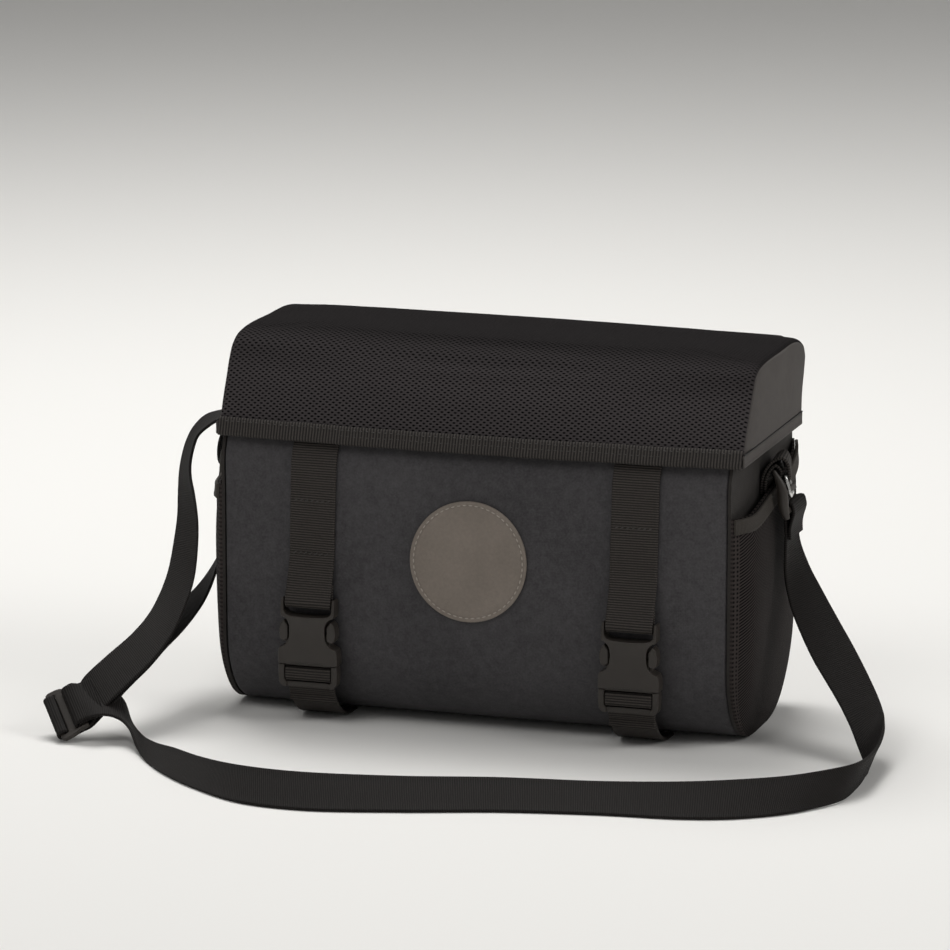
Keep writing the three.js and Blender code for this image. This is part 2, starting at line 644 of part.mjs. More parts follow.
// The male half: a frame that holds the lower strap, a guide and two arms with release tabs.
function buckleFrame() {
  const top = SOCKET_HEIGHT + CLEAR;
  const slotTop = FRAME_FOOT - FOOT_BAR - 2 * SLOT - LADDER_BAR;
  const rail = roundedBox(-SOCKET_WIDTH / 2 + 0.4, SOCKET_WIDTH / 2 - 0.4, -FRAME_FOOT, -top, 3.5, 3);
  const window = [[-WINDOW_HALF, -slotTop], [-WINDOW_HALF, -FRAME_FOOT - 1], [WINDOW_HALF, -FRAME_FOOT - 1],
    [WINDOW_HALF, -slotTop]];
  const gap = solid(plate(window, [], FRAME_THICK + 2, X_AXIS, Z_AXIS));
  const piece = (left, right, foot, head, thick) => solid(plate(
    [[left, -foot], [right, -foot], [right, -head], [left, -head]], [], thick, X_AXIS, Z_AXIS,
  ));
  const inside = CAVITY_HALF - CLEAR;
  const thick = CAVITY_THICK - 2 * CLEAR;
  const ladderFoot = FRAME_FOOT - FOOT_BAR - SLOT;
  let frame = solid(plate(rail, [], FRAME_THICK, X_AXIS, Z_AXIS)).subtract(gap);
  frame = frame.add(piece(-WINDOW_HALF - 1, WINDOW_HALF + 1, FRAME_FOOT, FRAME_FOOT - FOOT_BAR, THIN_BAR));
  frame = frame.add(piece(-WINDOW_HALF - 1, WINDOW_HALF + 1, ladderFoot, ladderFoot - LADDER_BAR, LADDER_THICK));
  frame = frame.add(piece(-inside, inside, slotTop, SOCKET_HEIGHT - 4.5, thick));
  frame = frame.add(piece(-2.5, 2.5, SOCKET_HEIGHT - 4, WAIST_TOP + 2, thick));
  for (const side of [-1, 1]) {
    const arm = [[8.6, -SOCKET_HEIGHT + 4], [inside, -SOCKET_HEIGHT + 4], [inside, -WAIST_FOOT - 0.4],
      [8.6 + 2.2, -WAIST_TOP - 4], [8.6, -WAIST_TOP - 4]];
    const tab = [[WAIST_HALF - 1, -WAIST_FOOT + 1.6], [TAB_REACH - 1, -WAIST_FOOT + 1.6],
      [TAB_REACH, -WAIST_FOOT + 5], [TAB_REACH, -WAIST_TOP - 6], [TAB_REACH - 1.5, -WAIST_TOP - 2],
      [WAIST_HALF - 1, -WAIST_TOP - 1.2]];
    const grip = [[WAIST_HALF + CLEAR, -WAIST_FOOT + 1.6], ...tab.slice(1, -1),
      [WAIST_HALF + CLEAR, -WAIST_TOP - 1.2]];
    for (const [outline, depth] of [[arm, thick], [tab, thick], [grip, TAB_THICK]]) {
      const sided = outline.map(([a, b]) => [side * a, b]);
      frame = frame.add(solid(plate(sided, [], depth, X_AXIS, Z_AXIS)));
    }
  }
  return geometryOf(frame);
}

// Webbing stations round a bar, from one angle to another in the plane across it.
function roundBar(centre, radius, from, to, count, place) {
  return steps(count).map((share) => {
    const turn = THREE.MathUtils.degToRad(from + (to - from) * share);
    return place(centre[0] + radius * Math.cos(turn), centre[1] + radius * Math.sin(turn));
  });
}

function frontStrap(x) {
  const lift = CLEAR + HALF_WEB;
  const heights = [STRAP_HEM, ...PROFILE.slice(1, 5).map((row) => row.z), 89];
  const onBag = heights.map((z) => ({
    at: frontPoint(x, z, lift),
    across: frontPoint(x + WEB_WIDTH / 2, z, lift).sub(frontPoint(x - WEB_WIDTH / 2, z, lift)).normalize(),
  }));
  const place = (y, z) => ({ at: new THREE.Vector3(x, y, z), across: X_AXIS.clone() });
  const barZ = BUCKLE_TOP - BAR_DROP;
  const radius = BAR_RADIUS + CLEAR + HALF_WEB;
  return webbing([
    ...onBag,
    ...roundBar([BUCKLE_Y, barZ], radius, 165, 330, 5, place),
    place(BUCKLE_Y + 0.9 * radius, barZ + 4),
    place(BUCKLE_Y + 1.1 * radius, barZ + 9.5),
  ]);
}

function lowerStrap(x) {
  const place = (y, z) => ({ at: new THREE.Vector3(x, y, z), across: X_AXIS.clone() });
  const start = frontPoint(x, 2.6, CLEAR + HALF_WEB);
  const end = BUCKLE_Y + BEHIND_FOOT;
  const foot = BUCKLE_TOP - FRAME_FOOT;
  const run = LOWER_ROWS.map(({ along, up }) => (
    place(start.y + (end - start.y) * along, Math.max(up * foot, HALF_WEB))
  ));
  const lowerSlot = foot + FOOT_BAR + SLOT / 2;
  const upperSlot = LADDER_FOOT + LADDER_BAR + SLOT / 2;
  const front = BUCKLE_Y - BEHIND_LADDER;
  const back = BUCKLE_Y + BEHIND_LADDER;
  const tail = end + WEB_STEP;
  return webbing([
    ...run,
    place(end, foot + 0.4),
    place(end, lowerSlot - 1.5),
    place(end - 0.8, lowerSlot - 0.1),
    place(BUCKLE_Y, lowerSlot),
    place(front + 0.7, lowerSlot + 0.2),
    place(front, lowerSlot + 1.4),
    place(front, LADDER_Z),
    place(front, upperSlot - 1.4),
    place(front + 0.7, upperSlot - 0.2),
    place(BUCKLE_Y, upperSlot),
    place(back - 0.7, upperSlot - 0.2),
    place(back, upperSlot - 1.4),
    place(back + 0.4, LADDER_Z),
    place(tail, lowerSlot),
    place(tail, foot),
    place(tail + 1, foot - 9),
  ]);
}

// Fittings on the sides

const HOOK_BAR = HOOK_FOOT - HOOK_RAIL / 2; // lower bar's middle below the hook's top
const TONGUE_FOOT = TONGUE_TOP + HOOK_RAIL;
const RING_FOOT = TONGUE_FOOT + CLEAR + RING_WIRE;
const RING_TILT = Math.asin((RING_WIRE + HOOK_THICK / 2 + CLEAR) / RING_HALF);

// Places on a side's fittings: along the webbing's width, down from the hook's top, and outward.
function fittingFrame(side) {
  const down = new THREE.Vector3(side * Math.sin(HOOK_LEAN), 0, -Math.cos(HOOK_LEAN));
  const outward = new THREE.Vector3(side * Math.cos(HOOK_LEAN), 0, Math.sin(HOOK_LEAN));
  const top = new THREE.Vector3(side * (SIDE_X - PANEL_WALL + HOOK_TOP_OUT), FITTING_Y, HOOK_TOP_Z);
  const point = (along, drop, out) => (
    top.clone().addScaledVector(Y_AXIS, along).addScaledVector(down, drop).addScaledVector(outward, out)
  );
  return { down, outward, top, point };
}

function hook(side) {
  const { down, top } = fittingFrame(side);
  const inner = RING_HALF + RING_WIRE + CLEAR;
  const outer = inner + HOOK_RAIL;
  const outline = [
    [-outer, 1], [-outer + 0.8, 0], [-inner, 0.6], [-inner, TONGUE_TOP],
    [inner + 0.5, TONGUE_TOP], [inner + 0.5, TONGUE_FOOT], [-inner, TONGUE_FOOT],
    [-inner, HOOK_FOOT - HOOK_RAIL], [inner, HOOK_FOOT - HOOK_RAIL], [inner, TONGUE_FOOT + 1.8],
    [outer, TONGUE_FOOT + 1.8], [outer, HOOK_FOOT - 1], [outer - 1, HOOK_FOOT],
    [-inner, HOOK_FOOT], [-inner - 0.6, HOOK_LENGTH], [-outer + 0.8, HOOK_LENGTH], [-outer, HOOK_LENGTH - 1.5],
  ];
  return plate(outline, [], HOOK_THICK, Y_AXIS, down).translate(top.x, top.y, top.z);
}

function ring(side) {
  const { down, outward, point } = fittingFrame(side);
  const skew = Y_AXIS.clone().multiplyScalar(Math.cos(RING_TILT)).addScaledVector(outward, Math.sin(RING_TILT));
  const half = RING_HALF / Math.cos(RING_TILT);
  const path = roundedBox(-half, half, RING_TOP, RING_FOOT, RING_CORNER, 3).map(([a, b]) => (
    point(0, b, 0).addScaledVector(skew, a)
  ));
  return rod(path, RING_WIRE, 6, true, new THREE.Vector3().crossVectors(skew, down).normalize());
}

function sideLoop(side) {
  const { outward, point } = fittingFrame(side);
  const bar = point(0, RING_TOP, 0);
  const radius = RING_WIRE + 1.5 * CLEAR + HALF_WEB;
  const flat = SIDE_X + panelDome(0.5, bar.z / BODY_HEIGHT) + CLEAR + HALF_WEB;
  const across = (share) => (
    Y_AXIS.clone().addScaledVector(outward, share * Math.tan(RING_TILT)).normalize()
  );
  const place = (x, z, share) => ({ at: new THREE.Vector3(side * x, FITTING_Y, z), across: across(share) });
  const reach = Math.abs(bar.x);
  return webbing([
    place(flat, bar.z + 12.8, 0),
    place(flat + 0.2, bar.z + 10.6, 0),
    place(flat + 1.8, bar.z + 8.2, 0.2),
    place(flat + 0.6 * (reach - flat), bar.z + 5.2, 0.7),
    ...roundBar([reach, bar.z], radius, 105, -130, 6, (x, z) => place(x, z, 1)),
    place(flat + 0.45 * (reach - flat), bar.z + 1.6, 0.6),
    place(flat + 1.4, bar.z + 3.4, 0.2),
    place(flat + 0.1, bar.z + 1.8, 0),
    place(flat, bar.z - 1, 0),
  ]);
}

// Slider and shoulder strap

const GLIDE_TILT = 0.556; // radians that the slider's short side dips below level
const LEFT_SLOT = WEB_THICK + 2 * CLEAR + 0.7;
const RIGHT_SLOT = 2 * WEB_THICK + 3 * CLEAR + 0.2;

// Places on the slider: along its bars, across them towards its outer bar, and up from its face.
function glideFrame() {
  const level = new THREE.Vector3().crossVectors(GLIDE_LONG, Z_AXIS).normalize();
  const rise = new THREE.Vector3().crossVectors(level, GLIDE_LONG).normalize();
  const across = level.clone().multiplyScalar(-Math.cos(GLIDE_TILT)).addScaledVector(rise, -Math.sin(GLIDE_TILT));
  const upward = new THREE.Vector3().crossVectors(GLIDE_LONG, across).normalize();
  const point = (a, v, w) => (
    GLIDE_AT.clone().addScaledVector(GLIDE_LONG, a).addScaledVector(across, v).addScaledVector(upward, w)
  );
  return { across, upward, point };
}

const GLIDE = glideFrame();

function triGlide() {
  const middle = GLIDE_MIDDLE / 2;
  const right = middle + RIGHT_SLOT + GLIDE_BAR;
  const left = middle + LEFT_SLOT + GLIDE_BAR - 0.6;
  const window = WEB_WIDTH / 2 + 0.4;
  const outline = roundedBox(-GLIDE_HALF, GLIDE_HALF, -right, left, GLIDE_CORNER, 3);
  const slots = [
    roundedBox(-window, window, -middle - RIGHT_SLOT, -middle, 0.6, 1),
    roundedBox(-window, window, middle, middle + LEFT_SLOT, 0.6, 1),
  ];
  const body = plate(outline, slots, GLIDE_THICK, GLIDE_LONG, GLIDE.across);
  return body.translate(GLIDE_AT.x, GLIDE_AT.y, GLIDE_AT.z);
}

function routeStation({ x, y, z, az, el }) {
  const bearing = THREE.MathUtils.degToRad(az);
  const rise = THREE.MathUtils.degToRad(el);
  const across = new THREE.Vector3(
    Math.cos(bearing) * Math.cos(rise), Math.sin(bearing) * Math.cos(rise), Math.sin(rise),
  );
  const resting = (WEB_WIDTH / 2) * Math.abs(Math.sin(rise)) + HALF_WEB * Math.cos(rise);
  const height = z === undefined ? resting : z + (HOOK_TOP_Z - ROUTE_TOP) * (z / ROUTE_TOP) ** 2;
  return { at: new THREE.Vector3(x, y, height), across };
}

// The strap's way through a hook's lower bar, as places down from the hook's top and outward.
function hookStations(side, places) {
  const { point } = fittingFrame(side);
  return places.map(([drop, out]) => ({ at: point(0, drop, out), across: Y_AXIS.clone() }));
}

function glideStations(places) {
  return places.map(([v, w]) => ({ at: GLIDE.point(0, v, w), across: GLIDE_LONG.clone() }));
}

function shoulderStrap() {
  const round = HOOK_THICK / 2 + CLEAR + HALF_WEB;
  const over = HOOK_RAIL / 2 + CLEAR + HALF_WEB;
  const sewnEnd = hookStations(1, [
    [HOOK_BAR + 15.5, -3.8], [HOOK_BAR + 10.6, -2.5], [HOOK_BAR + 6.3, -0.2], [HOOK_BAR + 3, 1.9],
    [HOOK_BAR, round],
    [HOOK_BAR - 0.9 * over, 0.9 * round], [HOOK_BAR - 1.08 * over, 0.3 * round],
    [HOOK_BAR - 1.08 * over, -0.3 * round], [HOOK_BAR - 0.9 * over, -0.9 * round],
    [HOOK_BAR, -round], [HOOK_BAR + 6, -3.6], [HOOK_BAR + 12, -4.9],
  ]);
  const face = GLIDE_THICK / 2 + 2 * CLEAR + HALF_WEB; // nearest layer's middle off the slider's mid plane
  const top = face + WEB_STEP;
  const middle = GLIDE_MIDDLE / 2;
  const bar = middle + RIGHT_SLOT + GLIDE_BAR; // outer edge of the right bar
  const passing = -middle - CLEAR - HALF_WEB;
  const looping = -middle - RIGHT_SLOT + CLEAR + HALF_WEB;
  const leftPass = middle + LEFT_SLOT / 2;
  const leftBar = middle + LEFT_SLOT + 0.5 * (GLIDE_BAR - 0.6);
  const fold = middle + LEFT_SLOT + GLIDE_BAR - 0.6 + CLEAR + HALF_WEB;
  const through = glideStations([
    [-bar, top], [looping - 1.4, top], [looping + 0.4, top - 0.2], [passing - 0.3, top - 1.3],
    [passing, top - 2.6], [passing, -face + 1.3], [passing + 0.6, -face + 0.2], [passing + 1.8, -face],
    [middle - 0.6, -face], [leftPass - 0.8, -face + 0.2], [leftPass, -face + 1.4], [leftPass, face - 1.4],
    [leftPass + 0.8, face - 0.2], [leftBar, face], [fold - 1.2, face], [fold - 0.2, face - 1],
    [fold, 0], [fold - 0.3, -face + 1], [fold - 1.6, -face - 0.2], [leftPass, -top], [passing, -top],
    [looping, -top], [-bar, -top],
  ]);
  const throughHook = hookStations(-1, [
    [HOOK_BAR + 9, -0.8 * round], [HOOK_BAR + 2, -round], [HOOK_BAR - 1.2, -round],
    [HOOK_BAR - 1.05 * over, -0.7 * round], [HOOK_BAR - 1.1 * over, 0.2 * round], [HOOK_BAR - over - 0.6, 1.7 * round],
  ]);
  const onGlide = glideStations([
    [-bar - 1, -face + 0.3], [-bar + 1.5, -face], [looping - 0.9, -face], [looping, -face + 1],
    [looping, face - 1], [looping - 0.9, face], [-bar + 1.5, face], [-bar - 1, face - 0.3],
    [-bar - 4, face - 1.2], [-bar - 10, face - 1.2],
  ]);
  return webbing([
    ...sewnEnd,
    ...[...RIGHT_FALL, ...FLOOR_RUN, ...ARCH].map(routeStation),
    ...through,
    ...BACK_LAYER.map(routeStation),
    ...throughHook,
    ...[...LEFT_RISE, ...OUTER_LAYER].map(routeStation),
    ...onGlide,
  ]);
}

// Assembly

const FINISH = {
  cloth: { color: 0x2b2c30, roughness: 0.85 },
  side: { color: 0x3a3a3c, roughness: 0.9 },
  mesh: { color: 0x101012, roughness: 0.95 },
  stretch: { color: 0x1a1a1c, roughness: 0.9 },
  webbing: { color: 0x1c1b1d, roughness: 0.8 },
  plastic: { color: 0x26262a, roughness: 0.45 },
  wire: { color: 0xc8c8c4, roughness: 0.3, metalness: 1 },
  leather: { color: 0x4a4642, roughness: 0.7 },
};

const bag = new THREE.Group();

function add(name, geometry, finish, x = 0, y = 0, z = 0) {
  const mesh = new THREE.Mesh(geometry, new THREE.MeshStandardMaterial(FINISH[finish]));
  mesh.name = name;
  mesh.position.set(x, y, z);
  bag.add(mesh);
}

add('body_wrap', bodyWrap(), 'cloth');
add('patch', patch(), 'leather');
add('lid_panel', lidPanel(), 'mesh');
add('lid_binding', lidBinding(), 'webbing');
add('lid_piping', lidPiping(), 'webbing');
for (const [word, side] of [['left', -1], ['right', 1]]) {
  add(`side_panel_${word}`, sidePanel(side), 'side');
  add(`pocket_${word}`, pocket(side), 'stretch');
  add(`pocket_band_${word}`, pocketBand(side), 'webbing');
  add(`lid_side_${word}`, lidSide(side), 'side');
  const strapX = side * STRAP_X + STRAP_SHIFT;
  add(`front_strap_${word}`, frontStrap(strapX), 'webbing');
  add(`buckle_socket_${word}`, buckleSocket(), 'plastic', strapX, BUCKLE_Y, BUCKLE_TOP);
  add(`buckle_frame_${word}`, buckleFrame(), 'plastic', strapX, BUCKLE_Y, BUCKLE_TOP);
  add(`lower_strap_${word}`, lowerStrap(strapX), 'webbing');
  add(`side_loop_${word}`, sideLoop(side), 'webbing');
  add(`ring_${word}`, ring(side), 'wire');
  add(`hook_${word}`, hook(side), 'plastic');
}
add('tri_glide', triGlide(), 'plastic');
add('shoulder_strap', shoulderStrap(), 'webbing');

export default bag;
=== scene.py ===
import math

import bmesh
import bpy
import numpy as np
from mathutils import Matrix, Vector, noise


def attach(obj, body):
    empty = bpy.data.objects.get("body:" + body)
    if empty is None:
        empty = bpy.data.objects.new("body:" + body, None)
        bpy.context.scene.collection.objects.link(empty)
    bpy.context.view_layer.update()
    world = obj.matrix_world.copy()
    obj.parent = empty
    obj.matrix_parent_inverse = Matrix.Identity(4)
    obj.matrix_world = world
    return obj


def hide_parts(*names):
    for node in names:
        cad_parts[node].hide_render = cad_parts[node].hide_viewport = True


# Looks of a bicycle handlebar bag. Shapes are worked out in millimetres and scaled to metres as
# meshes are made. X runs across the bag, Y from its front to its back, Z up from its underside.
MM = 0.001
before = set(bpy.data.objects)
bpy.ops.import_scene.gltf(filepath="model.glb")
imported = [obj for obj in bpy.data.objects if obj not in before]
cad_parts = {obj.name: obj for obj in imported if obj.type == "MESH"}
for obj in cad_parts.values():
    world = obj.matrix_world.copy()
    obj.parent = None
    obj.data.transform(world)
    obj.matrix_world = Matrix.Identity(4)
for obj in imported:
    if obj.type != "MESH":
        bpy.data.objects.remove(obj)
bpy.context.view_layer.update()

# Sizes that the solids have too
CLEAR = 0.3
BODY_HALF, BODY_DEPTH, BODY_HEIGHT, BACK_RIM, BODY_WALL = 136, 122, 156, 149.4, 2
FRONT_RADIUS, REAR_RADIUS, FRONT_SWELL = 43, 48, 8
PANEL_WALL, PANEL_SWELL = 1.6, 2
LID_HALF, LID_SHIFT, LID_DEPTH, LID_FRONT, LID_HEIGHT = 142, 1.5, 121.8, -60.8, 48.6
LID_WALL, LID_SWELL, LID_PUSH, CAP_WALL = 3, 2.3, 3, 2
BINDING_HEIGHT, PIPING_RADIUS = 9.5, 1.2
POCKET_BULGE, POCKET_WALL, BAND_HEIGHT, BAND_WALL = 9, 1.2, 8, 1.6
WEB_WIDTH, WEB_THICK, STRAP_X, STRAP_SHIFT, STRAP_HEM = 25, 1.5, 87, 1.3, 155
BUCKLE_TOP, BUCKLE_GAP, SOCKET_THICK, SOCKET_HEIGHT, SOCKET_WIDTH = 68.5, 0.4, 9.5, 35, 32.7
EAR_WIDTH, EAR_DEPTH, EAR_PLAY, BAR_DROP, BAR_RADIUS = 1.2, 8.3, 0.65, 2.2, 1.4
WAIST_HALF, WAIST_TOP, WAIST_FOOT, CAVITY_HALF, CAVITY_THICK = 10, 10, 24.8, 12.4, 5.4
FRAME_FOOT, FRAME_THICK, FOOT_BAR, LADDER_BAR, LADDER_THICK, THIN_BAR = 47.5, 6.4, 2.9, 3.6, 2.6, 3.2
TAB_REACH, TAB_THICK = 15.5, 8
PATCH_X, PATCH_Z, PATCH_RADIUS, PATCH_WALL = 0, 93, 31.5, 1.4
FITTING_Y, HOOK_TOP_OUT, HOOK_TOP_Z, HOOK_LEAN, HOOK_THICK, HOOK_RAIL = 2, 12.3, 140, 0.288, 2.6, 3
HOOK_LENGTH, HOOK_FOOT, TONGUE_TOP = 26, 23.5, 11.7
RING_WIRE, RING_HALF, RING_TOP, RING_CORNER = 1.2, 14.2, 5.4, 2
GLIDE_AT = np.array([-198, -134, 13.1])
GLIDE_LONG = np.array([-0.557, 0.612, 0.561]) / np.linalg.norm([-0.557, 0.612, 0.561])
GLIDE_HALF, GLIDE_THICK, GLIDE_BAR, GLIDE_MIDDLE, GLIDE_TILT = 15.5, 2.4, 3, 3.5, 0.556

# Pitch and size of the lid mesh's holes, and where along the lid its painted shade is full (darkest) and
# where it has gone (palest)
MESH_ROW, MESH_COLUMN, MESH_HOLE_WIDE, MESH_HOLE_TALL, MESH_DARK, MESH_PALE = 1.29, 3.6, 1.7, 0.9, 66.0, 34.0
# Rolled edges of the body's cloth and of the lid's mesh
BODY_ROLL, LID_ROLL = 1.8, 4
# Bands along the lower edges of the lid's ends
HEM_HEIGHT, HEM_WALL = 6.6, 1

HALF_DEPTH = BODY_DEPTH / 2
HALF_WEB = WEB_THICK / 2
WEB_STEP = WEB_THICK + CLEAR
SIDE_X = BODY_HALF + CLEAR + PANEL_WALL
LID_LEVEL = BACK_RIM + CLEAR
POCKET_RISE = 0.8 * BODY_HEIGHT
X_AXIS, Y_AXIS, Z_AXIS = np.eye(3)

# Front of the body: height and lean back as shares, and the share of FRONT_SWELL
FRONT_ROWS = [
    (1, 0.057, 0), (0.962, 0.033, 0.05), (0.897, 0, 0.2), (0.788, 0, 0.5), (0.654, 0, 0.8),
    (0.526, 0, 0.97), (0.41, 0, 1), (0.327, 0, 0.95),
]
ARC_SWELL = 0.85
# Rim of a side panel: place along the depth, and height
RIM_ROWS = [
    (0, 1), (0.13, 0.989), (0.9, 0.987), (0.959, BACK_RIM / BODY_HEIGHT), (1, BACK_RIM / BODY_HEIGHT),
]
# Lid from its front hem over the top to its back hem: depth, height and shares of LID_SWELL and LID_PUSH
LID_ROWS = [
    (0, 0, 1, 0), (0.029, 0.186, 1, 0.2), (0.064, 0.355, 1, 0.5), (0.109, 0.535, 1, 0.8),
    (0.15, 0.693, 0.9, 1), (0.18, 0.81, 0.85, 1), (0.204, 0.89, 0.8, 1), (0.25, 0.949, 0.75, 1),
    (0.316, 0.983, 0.7, 0.95), (0.423, 1, 0.7, 0.9), (0.62, 1, 0.7, 0.8), (0.827, 1, 0.7, 0.75),
    (0.926, 0.968, 0.6, 0.7), (0.992, 0.915, 0.4, 0.6), (1.041, 0.837, 0.3, 0.5), (1.06, 0.736, 0.3, 0.4),
    (1.045, 0.556, 0.25, 0.3), (1.021, 0.387, 0.2, 0.2), (1.006, 0.2, 0.1, 0.1), (1, 0, 0, 0),
]
PIPING_ROW = 13
# Top edge of a pocket: place along the depth, and height
POCKET_ROWS = [
    (0, 0.79), (0.13, 0.788), (0.25, 0.806), (0.37, 0.822), (0.6, 0.845), (0.87, 0.885), (1, 0.905),
]
# Loose run of a lower strap: way to the buckle, and height
LOWER_ROWS = [
    (0, 0.036), (0.12, 0.038), (0.25, 0.045), (0.4, 0.085), (0.56, 0.19), (0.71, 0.36), (0.85, 0.6),
    (0.96, 0.86),
]
# The shoulder strap's route: middle of the webbing, bearing and rise of its width in degrees
RIGHT_FALL = [
    (154.1, 0.5, 98.3, 88, 0), (157.6, -1.9, 84.4, 75, 2), (164.2, -8, 72.4, 63, 8),
    (173.6, -16.1, 59.6, 54, 10), (183.4, -24.8, 48.1, 50, 12), (192.8, -33.1, 37.9, 53, 9),
    (201.6, -41.4, 27.9, 58, 8), (208.1, -48.9, 19.5, 65, 18),
]
FLOOR_RUN = [
    (215, -61.5, None, 70, 50), (217.2, -76.5, None, 77, 38), (218.2, -95.1, None, 78, 34.6),
    (216.5, -124.6, None, 74, 40), (205.2, -142.5, None, 80, 39), (192.3, -154.8, None, 90, 36),
    (169.4, -169.3, None, 98.7, 34.7), (144.8, -176.7, None, 102, 31), (105.4, -181, None, 105, 25),
    (55.8, -191.4, None, 109, 26.6), (8.5, -206.9, None, 111, 29), (-38.8, -218.8, None, 112, 33),
    (-71.1, -215.6, None, 107, 32), (-101.4, -196.5, None, 100, 23), (-124.2, -176.9, None, 99, 17.5),
    (-143.4, -155.4, None, 101, 7.5), (-155.2, -140.5, 3.4, 106, -1),
]
ARCH = [
    (-164.2, -129.6, 8.4, 110, -6), (-171, -124.5, 14.8, 107, 9), (-177, -126.6, 18.4, 108, 17),
    (-183.4, -131, 19.4, 113, 21),
]
BACK_LAYER = [
    (-185.6, -124.2, 19.4, 134, 33), (-177.1, -110.1, 30.8, 136, 28), (-170.5, -94.5, 38.6, 133, 25),
    (-167.4, -78.6, 43.3, 127, 20), (-164.5, -60.8, 47.2, 122, 16), (-162.2, -44.2, 51.9, 118, 12),
    (-160.6, -31, 56.9, 115, 8), (-159.4, -19.5, 63.5, 111, 4), (-158, -9, 73, 106, 0),
    (-156.2, -2, 85, 99, 0), (-154.4, 1, 98, 93, 0),
]
LEFT_RISE = [
    (-158.6, 2, 127.6, 90, 0), (-158, 2, 134, 90, 0), (-156.3, 2.2, 139.6, 90, 1),
    (-154.8, 2.4, 143.4, 90, 2),
]
OUTER_LAYER = [
    (-157.2, 2.5, 146.8, 90, 3), (-165.7, 2.3, 143.6, 92, 10), (-172, 0.8, 139.7, 99, 16),
    (-175.8, -1.7, 133.3, 109, 17), (-177.6, -5.1, 125.8, 116, 13), (-177.6, -9.5, 116.4, 123, 0),
    (-174.2, -17.5, 106.2, 130, -9), (-169.6, -28.2, 96.1, 135, -6), (-165.9, -41.2, 84.7, 140, -6),
    (-162.8, -57, 71.5, 142, 1), (-162.4, -72.4, 60.4, 142, 5), (-163.9, -86.5, 50.9, 141, 13),
    (-168.8, -100.3, 41.8, 139, 21), (-177.4, -114, 32.2, 139, 26), (-186.2, -125.9, 22, 136, 32),
]


# Camera, at the photograph's angle

CAMERA_AZIMUTH, CAMERA_RISE, CAMERA_WAY, CAMERA_LENS = math.radians(17.8), math.radians(12.4), 2900, 213.36
CAMERA_TARGET = np.array([1.2, -61, 137.5])


def make_camera():
    ahead = np.array([
        -math.sin(CAMERA_AZIMUTH) * math.cos(CAMERA_RISE),
        math.cos(CAMERA_AZIMUTH) * math.cos(CAMERA_RISE),
        -math.sin(CAMERA_RISE),
    ])
    data = bpy.data.cameras.new("camera")
    data.lens = CAMERA_LENS
    data.sensor_width = 36
    data.clip_end = 50
    camera = bpy.data.objects.new("camera", data)
    camera.location = Vector((CAMERA_TARGET - CAMERA_WAY * ahead) * MM)
    camera.rotation_euler = Vector(ahead).to_track_quat("-Z", "Y").to_euler()
    bpy.context.scene.collection.objects.link(camera)
    bpy.context.scene.camera = camera


# Geometry helpers

def unit(v):
    v = np.asarray(v, float)
    return v / np.linalg.norm(v, axis=-1, keepdims=True)


def smooth_line(rows, step):
    """A smooth curve through rows, whose first three numbers are a point, in samples about a step apart."""
    rows = np.array(rows, float)
    gaps = np.linalg.norm(np.diff(rows[:, :3], axis=0), axis=1)
    width = np.sqrt(gaps)[:, None]
    slope = np.diff(rows, axis=0) / width
    inner = (slope[:-1] * width[1:] + slope[1:] * width[:-1]) / (width[1:] + width[:-1])
    tangent = np.vstack([slope[:1], inner, slope[-1:]])
    samples = []
    for i, gap in enumerate(gaps):
        count = max(2, math.ceil(gap / step))
        t = (np.arange(count) / count)[:, None]
        near = (2 * t**3 - 3 * t**2 + 1) * rows[i] + (t**3 - 2 * t**2 + t) * width[i] * tangent[i]
        far = (3 * t**2 - 2 * t**3) * rows[i + 1] + (t**3 - t**2) * width[i] * tangent[i + 1]
        samples.append(near + far)
    return np.vstack([*samples, rows[-1:]])


def table_value(rows, share):
    return np.interp(share, [row[0] for row in rows], [row[1] for row in rows])


def arc_run(points):
    """How far along a line each of its points lies."""
    return np.concatenate([[0], np.cumsum(np.linalg.norm(np.diff(points, axis=0), axis=1))])


def with_normals(rows, turn):
    """Adds outward directions to rows of (x, y, z, ...) along a profile."""
    step = np.gradient(rows[:, 1:3], axis=0)
    step /= np.linalg.norm(step, axis=1, keepdims=True)
    return np.column_stack([rows, turn * step[:, 1], -turn * step[:, 0]])


def new_piece(name, points, faces, uv=None, crease=50):
    """A smooth mesh from points in millimetres, with its faces turned outward."""
    mesh = bpy.data.meshes.new(name)
    mesh.from_pydata([tuple(p) for p in np.asarray(points) * MM], [], faces)
    if uv is not None:
        layer = mesh.uv_layers.new(name="cloth")
        corners = np.zeros(len(mesh.loops), int)
        mesh.loops.foreach_get("vertex_index", corners)
        layer.data.foreach_set("uv", np.asarray(uv, np.float32)[corners].ravel())
    edit = bmesh.new()
    edit.from_mesh(mesh)
    bmesh.ops.recalc_face_normals(edit, faces=edit.faces)
    edit.to_mesh(mesh)
    edit.free()
    mesh.shade_smooth()
    mesh.set_sharp_from_angle(angle=math.radians(crease))
    piece = bpy.data.objects.new(name, mesh)
    bpy.context.scene.collection.objects.link(piece)
    return piece


def grid_faces(rows, columns, start=0, round_columns=False):
    faces = []
    for r in range(rows - 1):
        for c in range(columns if round_columns else columns - 1):
            d = (c + 1) % columns
            faces.append((start + r * columns + c, start + r * columns + d,
                          start + (r + 1) * columns + d, start + (r + 1) * columns + c))
    return faces


def capped_faces(count, sides):
    """Faces of a closed body through rings of points, with flat ends."""
    ends = [tuple(range(sides)), tuple(range(count * sides - 1, (count - 1) * sides - 1, -1))]
    return grid_faces(count, sides, round_columns=True) + ends


